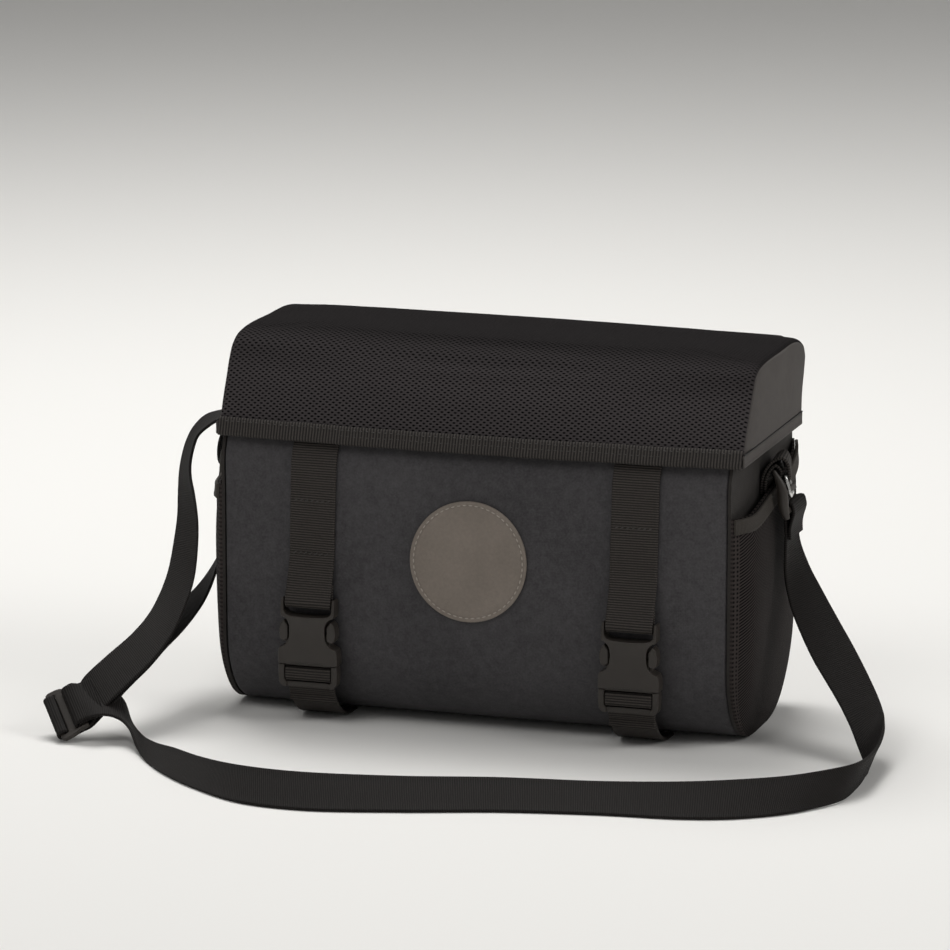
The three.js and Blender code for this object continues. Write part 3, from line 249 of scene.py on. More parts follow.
def shell(name, outer, inner, uv):
    """A closed wall between two grids of points."""
    outer = np.array(outer)
    inner = np.array(inner)
    rows, columns = outer.shape[:2]
    size = rows * columns
    faces = grid_faces(rows, columns) + [f[::-1] for f in grid_faces(rows, columns, size)]
    rim = [r * columns for r in range(rows)]
    rim += [(rows - 1) * columns + c for c in range(1, columns)]
    rim += [r * columns + columns - 1 for r in range(rows - 2, -1, -1)]
    rim += list(range(columns - 2, 0, -1))
    for a, b in zip(rim, rim[1:] + rim[:1]):
        faces.append((a, b, b + size, a + size))
    points = np.vstack([outer.reshape(-1, 3), inner.reshape(-1, 3)])
    flat = np.array(uv, float).reshape(-1, 2)
    return new_piece(name, points, faces, np.vstack([flat, flat]))


def walled(name, profile, places, wall, point):
    """A closed wall along a profile, from a function of its row, the place across and the depth."""
    outer, inner = [[[point(row, x, deep) for x in places] for row in profile] for deep in (0, wall)]
    uv = [[(x, v) for x in places] for v in arc_run(profile[:, 1:3])]
    return shell(name, outer, inner, uv)


def tube(name, rings, closed=False, uv=None, crease=50):
    """A body through rings of points, with flat ends unless it closes on itself."""
    rings = np.array(rings)
    count, sides = rings.shape[:2]
    faces = capped_faces(count, sides)
    if closed:
        last = (count - 1) * sides
        faces = grid_faces(count, sides, round_columns=True)
        faces += [(last + s, last + (s + 1) % sides, (s + 1) % sides, s) for s in range(sides)]
    return new_piece(name, rings.reshape(-1, 3), faces, uv, crease)


def strip_section(width, thick):
    """Round-edged section of a tape, as places across it and out of it, with slightly raised selvages."""
    half, deep = width / 2, thick / 2
    face = [(-half + 0.3, 1), (-half + 1.1, 1.1), (-half + 2.2, 0.94), (-half / 2, 0.94), (0, 0.94)]
    face += [(-u, w) for u, w in face[-2::-1]]
    edge = [(half - 0.07, 0.62), (half, 0), (half - 0.07, -0.62)]
    section = face + edge + [(u, -w) for u, w in face[::-1]] + [(-u, -w) for u, w in edge]
    return [(u, w * deep) for u, w in section]


def strip(name, stations, width=WEB_WIDTH, thick=WEB_THICK, step=2.5, floor=False):
    """Flat webbing through stations of (x, y, z, across). Returns the piece and its middle line."""
    samples = smooth_line(stations, step)
    middle, across = samples[:, :3], samples[:, 3:]
    along = unit(np.gradient(middle, axis=0))
    across = unit(across)
    out = unit(np.cross(along, across))
    run = arc_run(middle)
    section = strip_section(width, thick)
    rings = np.stack([middle + u * across + w * out for u, w in section], axis=1)
    if floor:
        rings[:, :, 2] = np.maximum(rings[:, :, 2], 0.02)
    uv = np.array([[(u, v) for u, _ in section] for v in run]).reshape(-1, 2)
    return tube(name, rings, uv=uv), middle


def rod(path, radius, sides, closed, aside):
    path = np.array(path)
    if closed:
        along = unit(np.roll(path, -1, axis=0) - np.roll(path, 1, axis=0))
    else:
        along = unit(np.gradient(path, axis=0))
    second = unit(np.cross(along, aside))
    first = unit(np.cross(second, along))
    turns = np.arange(sides) * 2 * math.pi / sides
    return np.stack([path + radius * (math.cos(t) * first + math.sin(t) * second) for t in turns], axis=1)


def arc_points(centre, radius, start, end, count):
    return [(centre[0] + radius * math.cos(math.radians(t)), centre[1] + radius * math.sin(math.radians(t)))
            for t in np.linspace(start, end, count + 1)]


def rounded_box(left, right, foot, top, radius, steps):
    corners = [(right - radius, foot + radius, -90), (right - radius, top - radius, 0),
               (left + radius, top - radius, 90), (left + radius, foot + radius, 180)]
    return [p for a, b, start in corners for p in arc_points((a, b), radius, start, start + 90, steps)]


def ripple(p, size, seed):
    """Smooth noise from about -1 to 1 at a point in millimetres."""
    return noise.noise(Vector((p[0] / size + seed, p[1] / size + 2.7 * seed, p[2] / size - seed)))


def plate_body(outline, low, high, first, second, third, at):
    """A closed plate from an outline drawn along two directions, from low to high along a third."""
    outline = np.array(outline, float)
    flat = outline[:, :1] * first + outline[:, 1:] * second + at
    points = np.vstack([flat + low * third, flat + high * third])
    n = len(outline)
    faces = [tuple(range(n)), tuple(range(2 * n - 1, n - 1, -1))]
    faces += [(i, (i + 1) % n, n + (i + 1) % n, n + i) for i in range(n)]
    return points, faces


def flipped(side, outline):
    return [(side * a, b) for a, b in outline]


def rod_body(path, radius, sides, aside):
    rings = rod(path, radius, sides, False, aside)
    return rings.reshape(-1, 3), capped_faces(len(rings), sides)


def joined(name, bodies):
    """One piece from bodies of points and faces."""
    points, faces = [], []
    for body_points, body_faces in bodies:
        faces += [tuple(i + len(points) for i in f) for f in body_faces]
        points += list(body_points)
    return new_piece(name, points, faces)


def moulded(name, bodies, voxel, shape=None):
    """Joins closed bodies into one moulded form with soft edges, and shapes its points if asked."""
    piece = joined(name, bodies)
    remesh = piece.modifiers.new("remesh", "REMESH")
    remesh.mode = "VOXEL"
    remesh.voxel_size = voxel * MM
    soften = piece.modifiers.new("soften", "SMOOTH")
    soften.iterations = 4
    bpy.context.view_layer.update()
    graph = bpy.context.evaluated_depsgraph_get()
    mesh = bpy.data.meshes.new_from_object(piece.evaluated_get(graph))
    piece.modifiers.clear()
    piece.data = mesh
    if shape:
        for v in mesh.vertices:
            v.co = Vector(shape(np.array(v.co) / MM)) * MM
    mesh.shade_smooth()
    return piece


def seam(rows, length, gap, radius, slant=0):
    """Stitches along a path: rows of (x, y, z, outward direction)."""
    rows = np.array(rows, float)
    run = arc_run(rows[:, :3])
    rings, sides = 7, 8
    ball = np.array([
        (math.cos(tilt), math.sin(tilt) * math.cos(turn), math.sin(tilt) * math.sin(turn))
        for tilt in np.arange(rings) * math.pi / (rings - 1)
        for turn in np.arange(sides) * 2 * math.pi / sides
    ])
    bodies = []
    for number in range(int((run[-1] + gap) / (length + gap))):
        middle = number * (length + gap) + length / 2
        at, ahead = [
            np.array([np.interp(middle + off, run, rows[:, i]) for i in range(6)]) for off in (0, 0.4)
        ]
        out = unit(at[3:])
        along = unit(ahead[:3] - at[:3] + 1e-9)
        side = np.cross(out, along)
        along = unit(along + slant * side)
        side = np.cross(out, along)
        points = at[:3] + ball @ np.array([along * length / 2, side * radius, out * radius * 0.8])
        bodies.append((points, grid_faces(rings, sides, round_columns=True)))
    return bodies


# Materials

def add_node(tree, kind, inputs=(), **settings):
    made = tree.nodes.new(kind)
    for key, value in settings.items():
        setattr(made, key, value)
    for key, value in dict(inputs).items():
        if isinstance(value, bpy.types.NodeSocket):
            tree.links.new(value, made.inputs[key])
        else:
            made.inputs[key].default_value = value
    return made.outputs[0]


def calc(tree, operation, a, b=0.0, c=0.0):
    return add_node(tree, "ShaderNodeMath", {0: a, 1: b, 2: c}, operation=operation)


def mix_colour(tree, share, a, b):
    """A colour between two. The mix node's colours are its sockets 6 and 7, and its output 2."""
    result = add_node(tree, "ShaderNodeMix", {0: share, 6: a, 7: b}, data_type="RGBA")
    return result.node.outputs[2]


def opaque(rgb):
    return (*rgb, 1.0)


def new_material(name, rough, specular, sheen=0.0, metallic=0.0):
    made = bpy.data.materials.new(name)
    made.use_nodes = True
    tree = made.node_tree
    shader = tree.nodes["Principled BSDF"]
    shader.inputs["Roughness"].default_value = rough
    shader.inputs["Specular IOR Level"].default_value = specular
    shader.inputs["Metallic"].default_value = metallic
    shader.inputs["Sheen Weight"].default_value = sheen
    shader.inputs["Sheen Roughness"].default_value = 0.5
    return made, tree, shader


def cloth_axes(tree):
    """Places across and along a cloth, in millimetres."""
    layer = tree.nodes.new("ShaderNodeUVMap")
    layer.uv_map = "cloth"
    parts = tree.nodes.new("ShaderNodeSeparateXYZ")
    tree.links.new(layer.outputs["UV"], parts.inputs[0])
    return parts.outputs[0], parts.outputs[1]


def object_place(tree):
    return tree.nodes.new("ShaderNodeTexCoord").outputs["Object"]


def mottle(tree, scale, detail=3.0):
    """Noise from 0 to 1, with its scale in features for each metre."""
    inputs = {"Vector": object_place(tree), "Scale": scale, "Detail": detail}
    return add_node(tree, "ShaderNodeTexNoise", inputs)


def wave(tree, value, period):
    """A smooth wave from 0 to 1 along a place in millimetres."""
    turned = calc(tree, "MULTIPLY", value, 2 * math.pi / period)
    return calc(tree, "MULTIPLY_ADD", calc(tree, "SINE", turned), 0.5, 0.5)


def relief(tree, shader, layers):
    """Bump from pairs of height and depth in millimetres, one over the other."""
    normal = None
    for height, depth in layers:
        inputs = {"Height": height, "Distance": depth * MM, "Strength": 1.0}
        if normal is not None:
            inputs["Normal"] = normal
        normal = add_node(tree, "ShaderNodeBump", inputs)
    tree.links.new(normal, shader.inputs["Normal"])


def paint(tree, shader, share, dark, light):
    tree.links.new(mix_colour(tree, share, opaque(dark), opaque(light)), shader.inputs["Base Color"])


def level(tree, value, low, high):
    return add_node(tree, "ShaderNodeMapRange", {
        "Value": value, "From Min": low, "From Max": high, "To Min": 0.0, "To Max": 1.0,
    })


def speckled(tree, value, speck, spread, least):
    """A value scaled by fine noise, from its least share up."""
    return calc(tree, "MULTIPLY", value, calc(tree, "MULTIPLY_ADD", speck, spread, least))


def vary_roughness(tree, shader, value, spread, least):
    tree.links.new(calc(tree, "MULTIPLY_ADD", value, spread, least), shader.inputs["Roughness"])


def waxed_cloth(name, dark, light, grain):
    made, tree, shader = new_material(name, 0.82, 0.22, sheen=0.04)
    broad = calc(tree, "ADD", mottle(tree, 14.0), mottle(tree, 240.0, 4.0))
    speck = mottle(tree, 900.0, 4.0)
    share = calc(tree, "MULTIPLY_ADD", speck, 0.4, calc(tree, "MULTIPLY", broad, 0.3))
    paint(tree, shader, level(tree, share, 0.33, 0.67), dark, light)
    across, along = cloth_axes(tree)
    weave = calc(tree, "MULTIPLY", wave(tree, across, 0.9), wave(tree, along, 0.9))
    vary_roughness(tree, shader, speck, 0.16, 0.74)
    relief(tree, shader, [(mottle(tree, 60.0), 0.3), (speck, grain), (weave, 0.05)])
    return made


def spacer_mesh(name):
    """Black mesh with rows of small oval holes, each row set off by half a hole, with painted shade that
    darkens it over the lid's top and back and leaves its front paler.
    """
    made, tree, shader = new_material(name, 0.95, 0.04)
    across, along = cloth_axes(tree)
    row = calc(tree, "DIVIDE", along, MESH_ROW)
    odd = calc(tree, "MULTIPLY", calc(tree, "PINGPONG", calc(tree, "FLOOR", row), 1.0), 0.5)
    column = calc(tree, "ADD", calc(tree, "DIVIDE", across, MESH_COLUMN), odd)
    near = [calc(tree, "SUBTRACT", calc(tree, "FRACT", value), 0.5) for value in (column, row)]
    wide = calc(tree, "MULTIPLY", near[0], MESH_COLUMN / MESH_HOLE_WIDE)
    tall = calc(tree, "MULTIPLY", near[1], MESH_ROW / MESH_HOLE_TALL)
    squares = [calc(tree, "POWER", value, 2.0) for value in (wide, tall)]
    reach = calc(tree, "SQRT", calc(tree, "ADD", *squares))
    solid = level(tree, reach, 0.3, 0.62)
    speck = mottle(tree, 1500.0, 2.0)
    # painted shade: darker over the lid's top and back, paler at its front, standing in for how the light
    # falls on the lid
    painted_shade = calc(tree, "MULTIPLY_ADD", level(tree, along, MESH_DARK, MESH_PALE), 0.7, 0.3)
    shade = speckled(tree, calc(tree, "MULTIPLY", solid, painted_shade), speck, 0.5, 0.6)
    paint(tree, shader, shade, (0.0012, 0.0012, 0.0012), (0.066, 0.0587, 0.0607))
    relief(tree, shader, [(solid, 0.4), (speck, 0.12)])
    return made


def ribbed(name, dark, light, period, depth=0.22):
    """Webbing or stretch cloth with fine ribs across its length."""
    made, tree, shader = new_material(name, 0.72, 0.18, sheen=0.01)
    across, along = cloth_axes(tree)
    speck = mottle(tree, 1100.0, 3.0)
    unsteady = calc(tree, "MULTIPLY_ADD", mottle(tree, 60.0, 2.0), 0.3 * period, along)
    ribs = wave(tree, unsteady, period)
    yarn = wave(tree, across, 0.75)
    height = calc(tree, "MULTIPLY", ribs, calc(tree, "MULTIPLY_ADD", yarn, 0.3, 0.7))
    shade = speckled(tree, calc(tree, "MULTIPLY_ADD", height, 0.85, 0.15), speck, 0.6, 0.7)
    paint(tree, shader, shade, dark, light)
    relief(tree, shader, [(height, depth), (speck, 0.05)])
    return made


def stretch_mesh(name):
    """Fine slanting ribs, with a strip of coarse open mesh beside the front seam."""
    made, tree, shader = new_material(name, 0.85, 0.1, sheen=0.01)
    across, along = cloth_axes(tree)
    ribs = wave(tree, calc(tree, "MULTIPLY_ADD", across, -0.42, along), 1.66)
    holes = calc(tree, "MULTIPLY", wave(tree, across, 1.9), wave(tree, along, 2.3))
    strip_share = level(tree, across, 3.8, 3.2)
    height = add_node(tree, "ShaderNodeMix", {0: strip_share, 2: ribs, 3: calc(tree, "SUBTRACT", 1.0, holes)})
    speck = mottle(tree, 900.0, 3.0)
    shade = speckled(tree, level(tree, height, 0.2, 0.9), speck, 0.6, 0.7)
    paint(tree, shader, shade, (0.0008, 0.0007, 0.0007), (0.042, 0.0344, 0.0327))
    relief(tree, shader, [(height, 0.3), (mottle(tree, 70.0), 0.3)])
    return made


def moulded_plastic(name):
    made, tree, shader = new_material(name, 0.42, 0.4)
    pitted = mottle(tree, 1400.0, 2.0)
    paint(tree, shader, mottle(tree, 120.0), (0.028, 0.0235, 0.02), (0.0385, 0.0325, 0.0277))
    vary_roughness(tree, shader, mottle(tree, 200.0), 0.2, 0.34)
    relief(tree, shader, [(pitted, 0.05)])
    return made


def wire_metal(name):
    made, tree, shader = new_material(name, 0.25, 0.5, metallic=1.0)
    paint(tree, shader, mottle(tree, 300.0), (0.55, 0.55, 0.54), (0.8, 0.8, 0.78))
    vary_roughness(tree, shader, mottle(tree, 500.0), 0.2, 0.16)
    relief(tree, shader, [(mottle(tree, 900.0), 0.02)])
    return made


def bare_leather(name):
    made, tree, shader = new_material(name, 0.6, 0.3)
    cells = add_node(tree, "ShaderNodeTexVoronoi", {"Vector": object_place(tree), "Scale": 900.0})
    broad = mottle(tree, 45.0)
    share = calc(tree, "MULTIPLY_ADD", mottle(tree, 600.0), 0.4, calc(tree, "MULTIPLY", broad, 0.6))
    paint(tree, shader, level(tree, share, 0.3, 0.7), (0.178, 0.152, 0.129), (0.236, 0.202, 0.173))
    vary_roughness(tree, shader, broad, 0.2, 0.5)
    relief(tree, shader, [(cells, 0.12), (mottle(tree, 250.0), 0.1)])
    return made


def thread(name, dark, light):
    made, tree, shader = new_material(name, 0.6, 0.35)
    paint(tree, shader, mottle(tree, 700.0), dark, light)
    relief(tree, shader, [(mottle(tree, 2500.0), 0.06)])
    return made


def studio_paper(name):
    made, tree, shader = new_material(name, 0.9, 0.1)
    paint(tree, shader, mottle(tree, 1.2), (0.83, 0.825, 0.81), (0.85, 0.845, 0.83))
    return made


FINISH = {
    "cloth": waxed_cloth("waxed_cloth", (0.035, 0.0332, 0.0355), (0.076, 0.0728, 0.0764), 0.12),
    "side_cloth": waxed_cloth("side_cloth", (0.02, 0.0176, 0.0162), (0.033, 0.0291, 0.027), 0.09),
    # a lighter copy of the side cloth, with painted light standing in for the lamp falling on the lid's ends
    # and hems
    "side_cloth_painted_light": waxed_cloth("side_cloth_painted_light", (0.056, 0.0498, 0.0474), (0.081, 0.0727, 0.0684), 0.09),
    "mesh": spacer_mesh("spacer_mesh"),
    "stretch": stretch_mesh("stretch_mesh"),
    "webbing": ribbed("webbing", (0.0018, 0.0016, 0.0014), (0.07, 0.061, 0.0554), 1.3),
    "fine_webbing": ribbed("fine_webbing", (0.0006, 0.0006, 0.0006), (0.019, 0.0158, 0.0146), 1.15, 0.2),
    "tape": ribbed("binding_tape", (0.0018, 0.0016, 0.0014), (0.07, 0.062, 0.0574), 1.6),
    "elastic": ribbed("elastic", (0.019, 0.0165, 0.0143), (0.057, 0.0497, 0.0434), 1.0, 0.1),
    "plastic": moulded_plastic("moulded_plastic"),
    "wire": wire_metal("wire_metal"),
    "leather": bare_leather("bare_leather"),
    "thread": thread("thread", (0.03, 0.0273, 0.0257), (0.055, 0.05, 0.047)),
    "dark_thread": thread("dark_thread", (0.0015, 0.0014, 0.0014), (0.004, 0.0037, 0.0036)),
    "pale_thread": thread("pale_thread", (0.3, 0.27, 0.24), (0.4, 0.36, 0.32)),
    "paper": studio_paper("studio_paper"),
}


def dress(piece, finish, *nodes):
    """Gives a piece its finish, and lets it stand for its CAD nodes."""
    piece.data.materials.clear()
    piece.data.materials.append(FINISH[finish])
    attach(piece, "root")
    if nodes:
        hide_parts(*nodes)
    return piece


# Fittings on the sides and the slider, which the strap runs through

HOOK_BAR = HOOK_FOOT - HOOK_RAIL / 2
TONGUE_FOOT = TONGUE_TOP + HOOK_RAIL
# How far the rings and their loops turn outward, for each millimetre towards the front
TWIST = 0.26
# Slots beside the slider's middle bar
LEFT_SLOT = WEB_THICK + 2 * CLEAR + 0.7
RIGHT_SLOT = 2 * WEB_THICK + 3 * CLEAR + 0.2


class Fitting:
    """Places on a side's fittings: along the webbing's width, down from the hook's top, and outward."""

    def __init__(self, side):
        self.down = np.array([side * math.sin(HOOK_LEAN), 0, -math.cos(HOOK_LEAN)])
        self.outward = np.array([side * math.cos(HOOK_LEAN), 0, math.sin(HOOK_LEAN)])
        self.top = np.array([side * (SIDE_X - PANEL_WALL + HOOK_TOP_OUT), FITTING_Y, HOOK_TOP_Z])

    def point(self, along, drop, out):
        return self.top + along * Y_AXIS + drop * self.down + out * self.outward


# The slider's own directions
GLIDE_LEVEL = unit(np.cross(GLIDE_LONG, Z_AXIS))
GLIDE_ACROSS = unit(-math.cos(GLIDE_TILT) * GLIDE_LEVEL
                    - math.sin(GLIDE_TILT) * unit(np.cross(GLIDE_LEVEL, GLIDE_LONG)))
GLIDE_UP = unit(np.cross(GLIDE_LONG, GLIDE_ACROSS))


def glide_point(a, v, w):
    return GLIDE_AT + a * GLIDE_LONG + v * GLIDE_ACROSS + w * GLIDE_UP


def route_stations(rows):
    made = []
    for x, y, z, az, el in rows:
        bearing, rise = math.radians(az), math.radians(el)
        across = [math.cos(bearing) * math.cos(rise), math.sin(bearing) * math.cos(rise), math.sin(rise)]
        resting = WEB_WIDTH / 2 * abs(math.sin(rise)) + HALF_WEB * math.cos(rise)
        made.append([x, y, resting if z is None else z, *across])
    return made


def shoulder_stations():
    wrap = HOOK_THICK / 2 + CLEAR + HALF_WEB
    over = HOOK_RAIL / 2 + CLEAR + HALF_WEB
    right, left = Fitting(1), Fitting(-1)
    sewn_end = [
        (15.5, -3.8), (10.6, -2.5), (6.3, -0.2), (3, 1.9), (0, wrap), (-0.9 * over, 0.9 * wrap),
        (-1.08 * over, 0.3 * wrap), (-1.08 * over, -0.3 * wrap), (-0.9 * over, -0.9 * wrap), (0, -wrap),
        (6, -3.6), (12, -4.9),
    ]
    face = GLIDE_THICK / 2 + 2 * CLEAR + HALF_WEB
    top = face + WEB_STEP
    middle = GLIDE_MIDDLE / 2
    bar = middle + RIGHT_SLOT + GLIDE_BAR
    passing = -middle - CLEAR - HALF_WEB
    looping = -middle - RIGHT_SLOT + CLEAR + HALF_WEB
    left_pass = middle + LEFT_SLOT / 2
    left_bar = middle + LEFT_SLOT + 0.5 * (GLIDE_BAR - 0.6)
    fold = middle + LEFT_SLOT + GLIDE_BAR - 0.6 + CLEAR + HALF_WEB
    through = [
        (-bar, top), (looping - 1.4, top), (looping + 0.4, top - 0.2), (passing - 0.3, top - 1.3),
        (passing, top - 2.6), (passing, -face + 1.3), (passing + 0.6, -face + 0.2), (passing + 1.8, -face),
        (middle - 0.6, -face), (left_pass - 0.8, -face + 0.2), (left_pass, -face + 1.4),
        (left_pass, face - 1.4), (left_pass + 0.8, face - 0.2), (left_bar, face), (fold - 1.2, face),
        (fold - 0.2, face - 1), (fold, 0), (fold - 0.3, -face + 1), (fold - 1.6, -face - 0.2),
        (left_pass, -top), (passing, -top), (looping, -top), (-bar, -top),
    ]
    through_hook = [
        (9, -0.8 * wrap), (2, -wrap), (-1.2, -wrap), (-1.05 * over, -0.7 * wrap), (-1.1 * over, 0.2 * wrap),
        (-over - 0.6, 1.7 * wrap),
    ]
    on_glide = [
        (-bar - 1, -face + 0.3), (-bar + 1.5, -face), (looping - 0.9, -face), (looping, -face + 1),
        (looping, face - 1), (looping - 0.9, face), (-bar + 1.5, face), (-bar - 1, face - 0.3),
        (-bar - 4, face - 1.2), (-bar - 10, face - 1.2),
    ]
    return [
        *[[*right.point(0, HOOK_BAR + drop, out), *Y_AXIS] for drop, out in sewn_end],
        *route_stations(RIGHT_FALL + FLOOR_RUN + ARCH),
        *[[*glide_point(0, v, w), *GLIDE_LONG] for v, w in through],
        *route_stations(BACK_LAYER),
        *[[*left.point(0, HOOK_BAR + drop, out), *Y_AXIS] for drop, out in through_hook],
        *route_stations(LEFT_RISE + OUTER_LAYER),
        *[[*glide_point(0, v, w), *GLIDE_LONG] for v, w in on_glide],
    ]


def tri_glide():
    middle = GLIDE_MIDDLE / 2
    right = middle + RIGHT_SLOT + GLIDE_BAR
    left = middle + LEFT_SLOT + GLIDE_BAR - 0.6
    window = WEB_WIDTH / 2 + 0.4
    deep = GLIDE_THICK / 2
    bars = [(-right, -right + GLIDE_BAR), (-middle - 0.3, middle + 0.5), (left - GLIDE_BAR + 0.6, left)]

    def plate(outline, thick):
        return plate_body(outline, -thick, thick, GLIDE_LONG, GLIDE_ACROSS, GLIDE_UP, GLIDE_AT)

    bodies = [
        plate([(-window - 1, low), (window + 1, low), (window + 1, high), (-window - 1, high)], deep)
        for low, high in bars
    ]
    for side in (-1, 1):
        end = flipped(side, [
            (window, -right), (window + 1, -right), (window + 1.3, -middle - 1.4),
            (GLIDE_HALF - 0.4, -middle - 0.3), (GLIDE_HALF + 0.2, 0.6), (GLIDE_HALF + 0.2, left - 1.6),
            (GLIDE_HALF - 0.9, left - 0.2), (window, left),
        ])
        bodies.append(plate(end, 1.25 * deep))
    return dress(moulded("slider", bodies, 0.35), "plastic", "tri_glide")


def shoulder_strap(slider):
    stations = shoulder_stations()
    piece, path = strip("shoulder_webbing", stations, step=2.2, floor=True)
    dress(piece, "fine_webbing", "shoulder_strap")
    length = np.linalg.norm(np.diff(path, axis=0), axis=1).sum() * MM
    return length


# Body

def body_profile():
    rows = [(0, lean * BODY_DEPTH - HALF_DEPTH, up * BODY_HEIGHT, swell) for up, lean, swell in FRONT_ROWS]
    for turn in np.linspace(0, math.pi / 2, 9):
        rows.append((0, -HALF_DEPTH + FRONT_RADIUS * (1 - math.cos(turn)),
                     FRONT_RADIUS * (1 - math.sin(turn)), ARC_SWELL * math.cos(turn) ** 2))
    for turn in np.linspace(0, math.pi / 2, 7):
        rows.append((0, HALF_DEPTH - REAR_RADIUS * (1 - math.sin(turn)),
                     REAR_RADIUS * (1 - math.cos(turn)), 0))
    for z in np.linspace(REAR_RADIUS, BACK_RIM, 4)[1:]:
        rows.append((0, HALF_DEPTH, z, 0))
    return with_normals(smooth_line(rows, 3), 1)


PROFILE = body_profile()
FRONT = PROFILE[:np.argmin(PROFILE[:, 2]) + 1][::-1]


def body_point(row, x, lift):
    _, y, z, swell, ny, nz = row
    out = FRONT_SWELL * swell * (1 - min(abs(x) / BODY_HALF, 1) ** 3) + lift
    return np.array([x, y + ny * out, max(z + nz * out, 0)])


def front_row(z):
    return np.array([np.interp(z, FRONT[:, 2], FRONT[:, i]) for i in range(6)])


def front_point(x, z, lift):
    return body_point(front_row(z), x, lift)


def front_out(x, z):
    """Direction out of the bag's front."""
    side = front_point(x + 1, z, 0) - front_point(x - 1, z, 0)
    rise = front_point(x, z + 1, 0) - front_point(x, z - 1, 0)
    return unit(np.cross(side, rise))


def edged_places(half, count, radius):
    """Places from one edge to the other, closer together over the rolled edges."""
    roll = [radius * (1 - math.cos(t)) for t in np.linspace(0, math.pi / 2, 6)]
    return np.concatenate([[-half + r for r in roll], np.linspace(-half + radius, half - radius, count)[1:-1],
                           [half - r for r in roll[::-1]]])


def roll_off(x, half, radius):
    """How far a surface drops where it rolls over its edge."""
    past = min(max(abs(x) - half + radius, 0), radius)
    return radius - math.sqrt(radius**2 - past**2)


def body_wrap():
    def point(row, x, wall):
        flat = body_point(row, x, 0)
        rough = 0.35 * ripple(flat, 55, 3) + 0.15 * ripple(flat, 17, 8)
        low = min(flat[2] / 12, 1)
        return body_point(row, x, low * rough - roll_off(x, BODY_HALF, BODY_ROLL) * (wall == 0) - wall)

    places = edged_places(BODY_HALF, 90, BODY_ROLL)
    return dress(walled("body_cloth", PROFILE, places, BODY_WALL, point), "cloth", "body_wrap")


def front_edge(z):
    return front_row(z)[1]


def back_edge(z):
    if z >= REAR_RADIUS:
        return HALF_DEPTH
    return HALF_DEPTH - REAR_RADIUS + math.sqrt(REAR_RADIUS**2 - (REAR_RADIUS - z) ** 2)


def fullness(s, r):
    return (1 - abs(2 * s - 1) ** 3.2) * (1 - (1 - r) ** 3)


def pocket_fullness(s, r):
    """How full a pocket bulges: most near its front seam and low down, less where its band draws it in."""
    squareness = 6 if s < 0.5 else 3
    return (1 - abs(2 * s - 1) ** squareness) * (1 - (1 - r) ** 4) * (1 - 0.35 * r**10)


def side_point(side, s, z, out):
    front = front_edge(z)
    return np.array([side * out, front + (back_edge(z) - front) * s, z])


def panel_dome(s, h):
    return PANEL_SWELL * fullness(s, h) * (1 - h**6)


def side_panel(side, word):
    places = np.linspace(0, 1, 40)
    heights = 1 - np.cos(np.linspace(0, math.pi / 2, 36))

    def grid(wall):
        rows = []
        for h in heights:
            row = []
            for s in places:
                z = h * BODY_HEIGHT * table_value(RIM_ROWS, s)
                flat = side_point(side, s, z, BODY_HALF + CLEAR + wall + panel_dome(s, h))
                flat[0] += side * 0.35 * ripple(flat, 26, 5) * (wall > 0) * fullness(s, h)
                row.append(flat)
            rows.append(row)
        return rows

    uv = [[(s * BODY_DEPTH, h * BODY_HEIGHT) for s in places] for h in heights]
    piece = shell(f"side_cloth_{word}", grid(PANEL_WALL), grid(0), uv)
    return dress(piece, "side_cloth", f"side_panel_{word}")


def drawn_folds(s, r):
    """Folds that the pocket's band draws out of its front top corner."""
    across, down = s * BODY_DEPTH, (1 - r) * POCKET_RISE
    reach = math.hypot(across, down)
    angle = math.atan2(down, across + 1e-6)
    return 0.7 * math.sin(11 * angle) * math.exp(-reach / 38) * min(reach / 14, 1)


def pocket_point(side, s, r, lift):
    z = r * BODY_HEIGHT * table_value(POCKET_ROWS, s)
    near_seam = min(8 * s, 8 * (1 - s), 1)
    return side_point(side, s, z, SIDE_X + CLEAR * near_seam + POCKET_BULGE * pocket_fullness(s, r) + lift)


def pocket(side, word):
    places = np.linspace(0, 1, 64)
    heights = 1 - np.cos(np.linspace(0, math.pi / 2, 54))

    def grid(lift, folds):
        return [[
            pocket_point(side, s, r, lift + folds * min(1, 6 * s, 6 * (1 - s)) * min(1, 6 * r, 10 * (1 - r))
                         * (drawn_folds(s, r) + 0.4 * ripple((s * 100, 0, r * 110), 24, 11 + side)))
            for s in places] for r in heights]

    uv = [[(s * BODY_DEPTH, r * POCKET_RISE) for s in places] for r in heights]
    piece = shell(f"pocket_mesh_{word}", grid(POCKET_WALL, 1), grid(0, 0.6), uv)
    return dress(piece, "stretch", f"pocket_{word}")


def pocket_band(side, word):
    reach = BAND_HEIGHT / POCKET_RISE
    lift = POCKET_WALL + CLEAR + BAND_WALL / 2
    stations = []
    for s in np.linspace(0, 1, 20):
        at = pocket_point(side, s, 1 - reach / 2, lift)
        up = pocket_point(side, s, 1, lift) - pocket_point(side, s, 1 - reach, lift)
        stations.append([*at, *unit(up)])
    piece, _ = strip(f"pocket_elastic_{word}", stations, BAND_HEIGHT, BAND_WALL)
    return dress(piece, "elastic", f"pocket_band_{word}")


def patch():
    shares = [1, 1, 0.985, 0.965, 0.94, 0.925, 0.91, 0.88, 0.75, 0.55, 0.3, 0.02]
    lifts = [0, 0.75, 0.92, 1, 0.9, 0.72, 0.9, 1, 1, 1, 1, 1]
    turns = np.linspace(0, 2 * math.pi, 97)[:-1]

    def ring(share, lift):
        return [front_point(PATCH_X + share * PATCH_RADIUS * math.cos(t),
                            PATCH_Z + share * PATCH_RADIUS * math.sin(t), CLEAR + lift) for t in turns]

    rings = [ring(share, lift * PATCH_WALL) for share, lift in zip(shares, lifts)]
    back = [ring(share, 0) for share in (0.02, 0.5)]
    piece = tube("leather_patch", [*back, *rings], crease=60)
    return dress(piece, "leather", "patch")


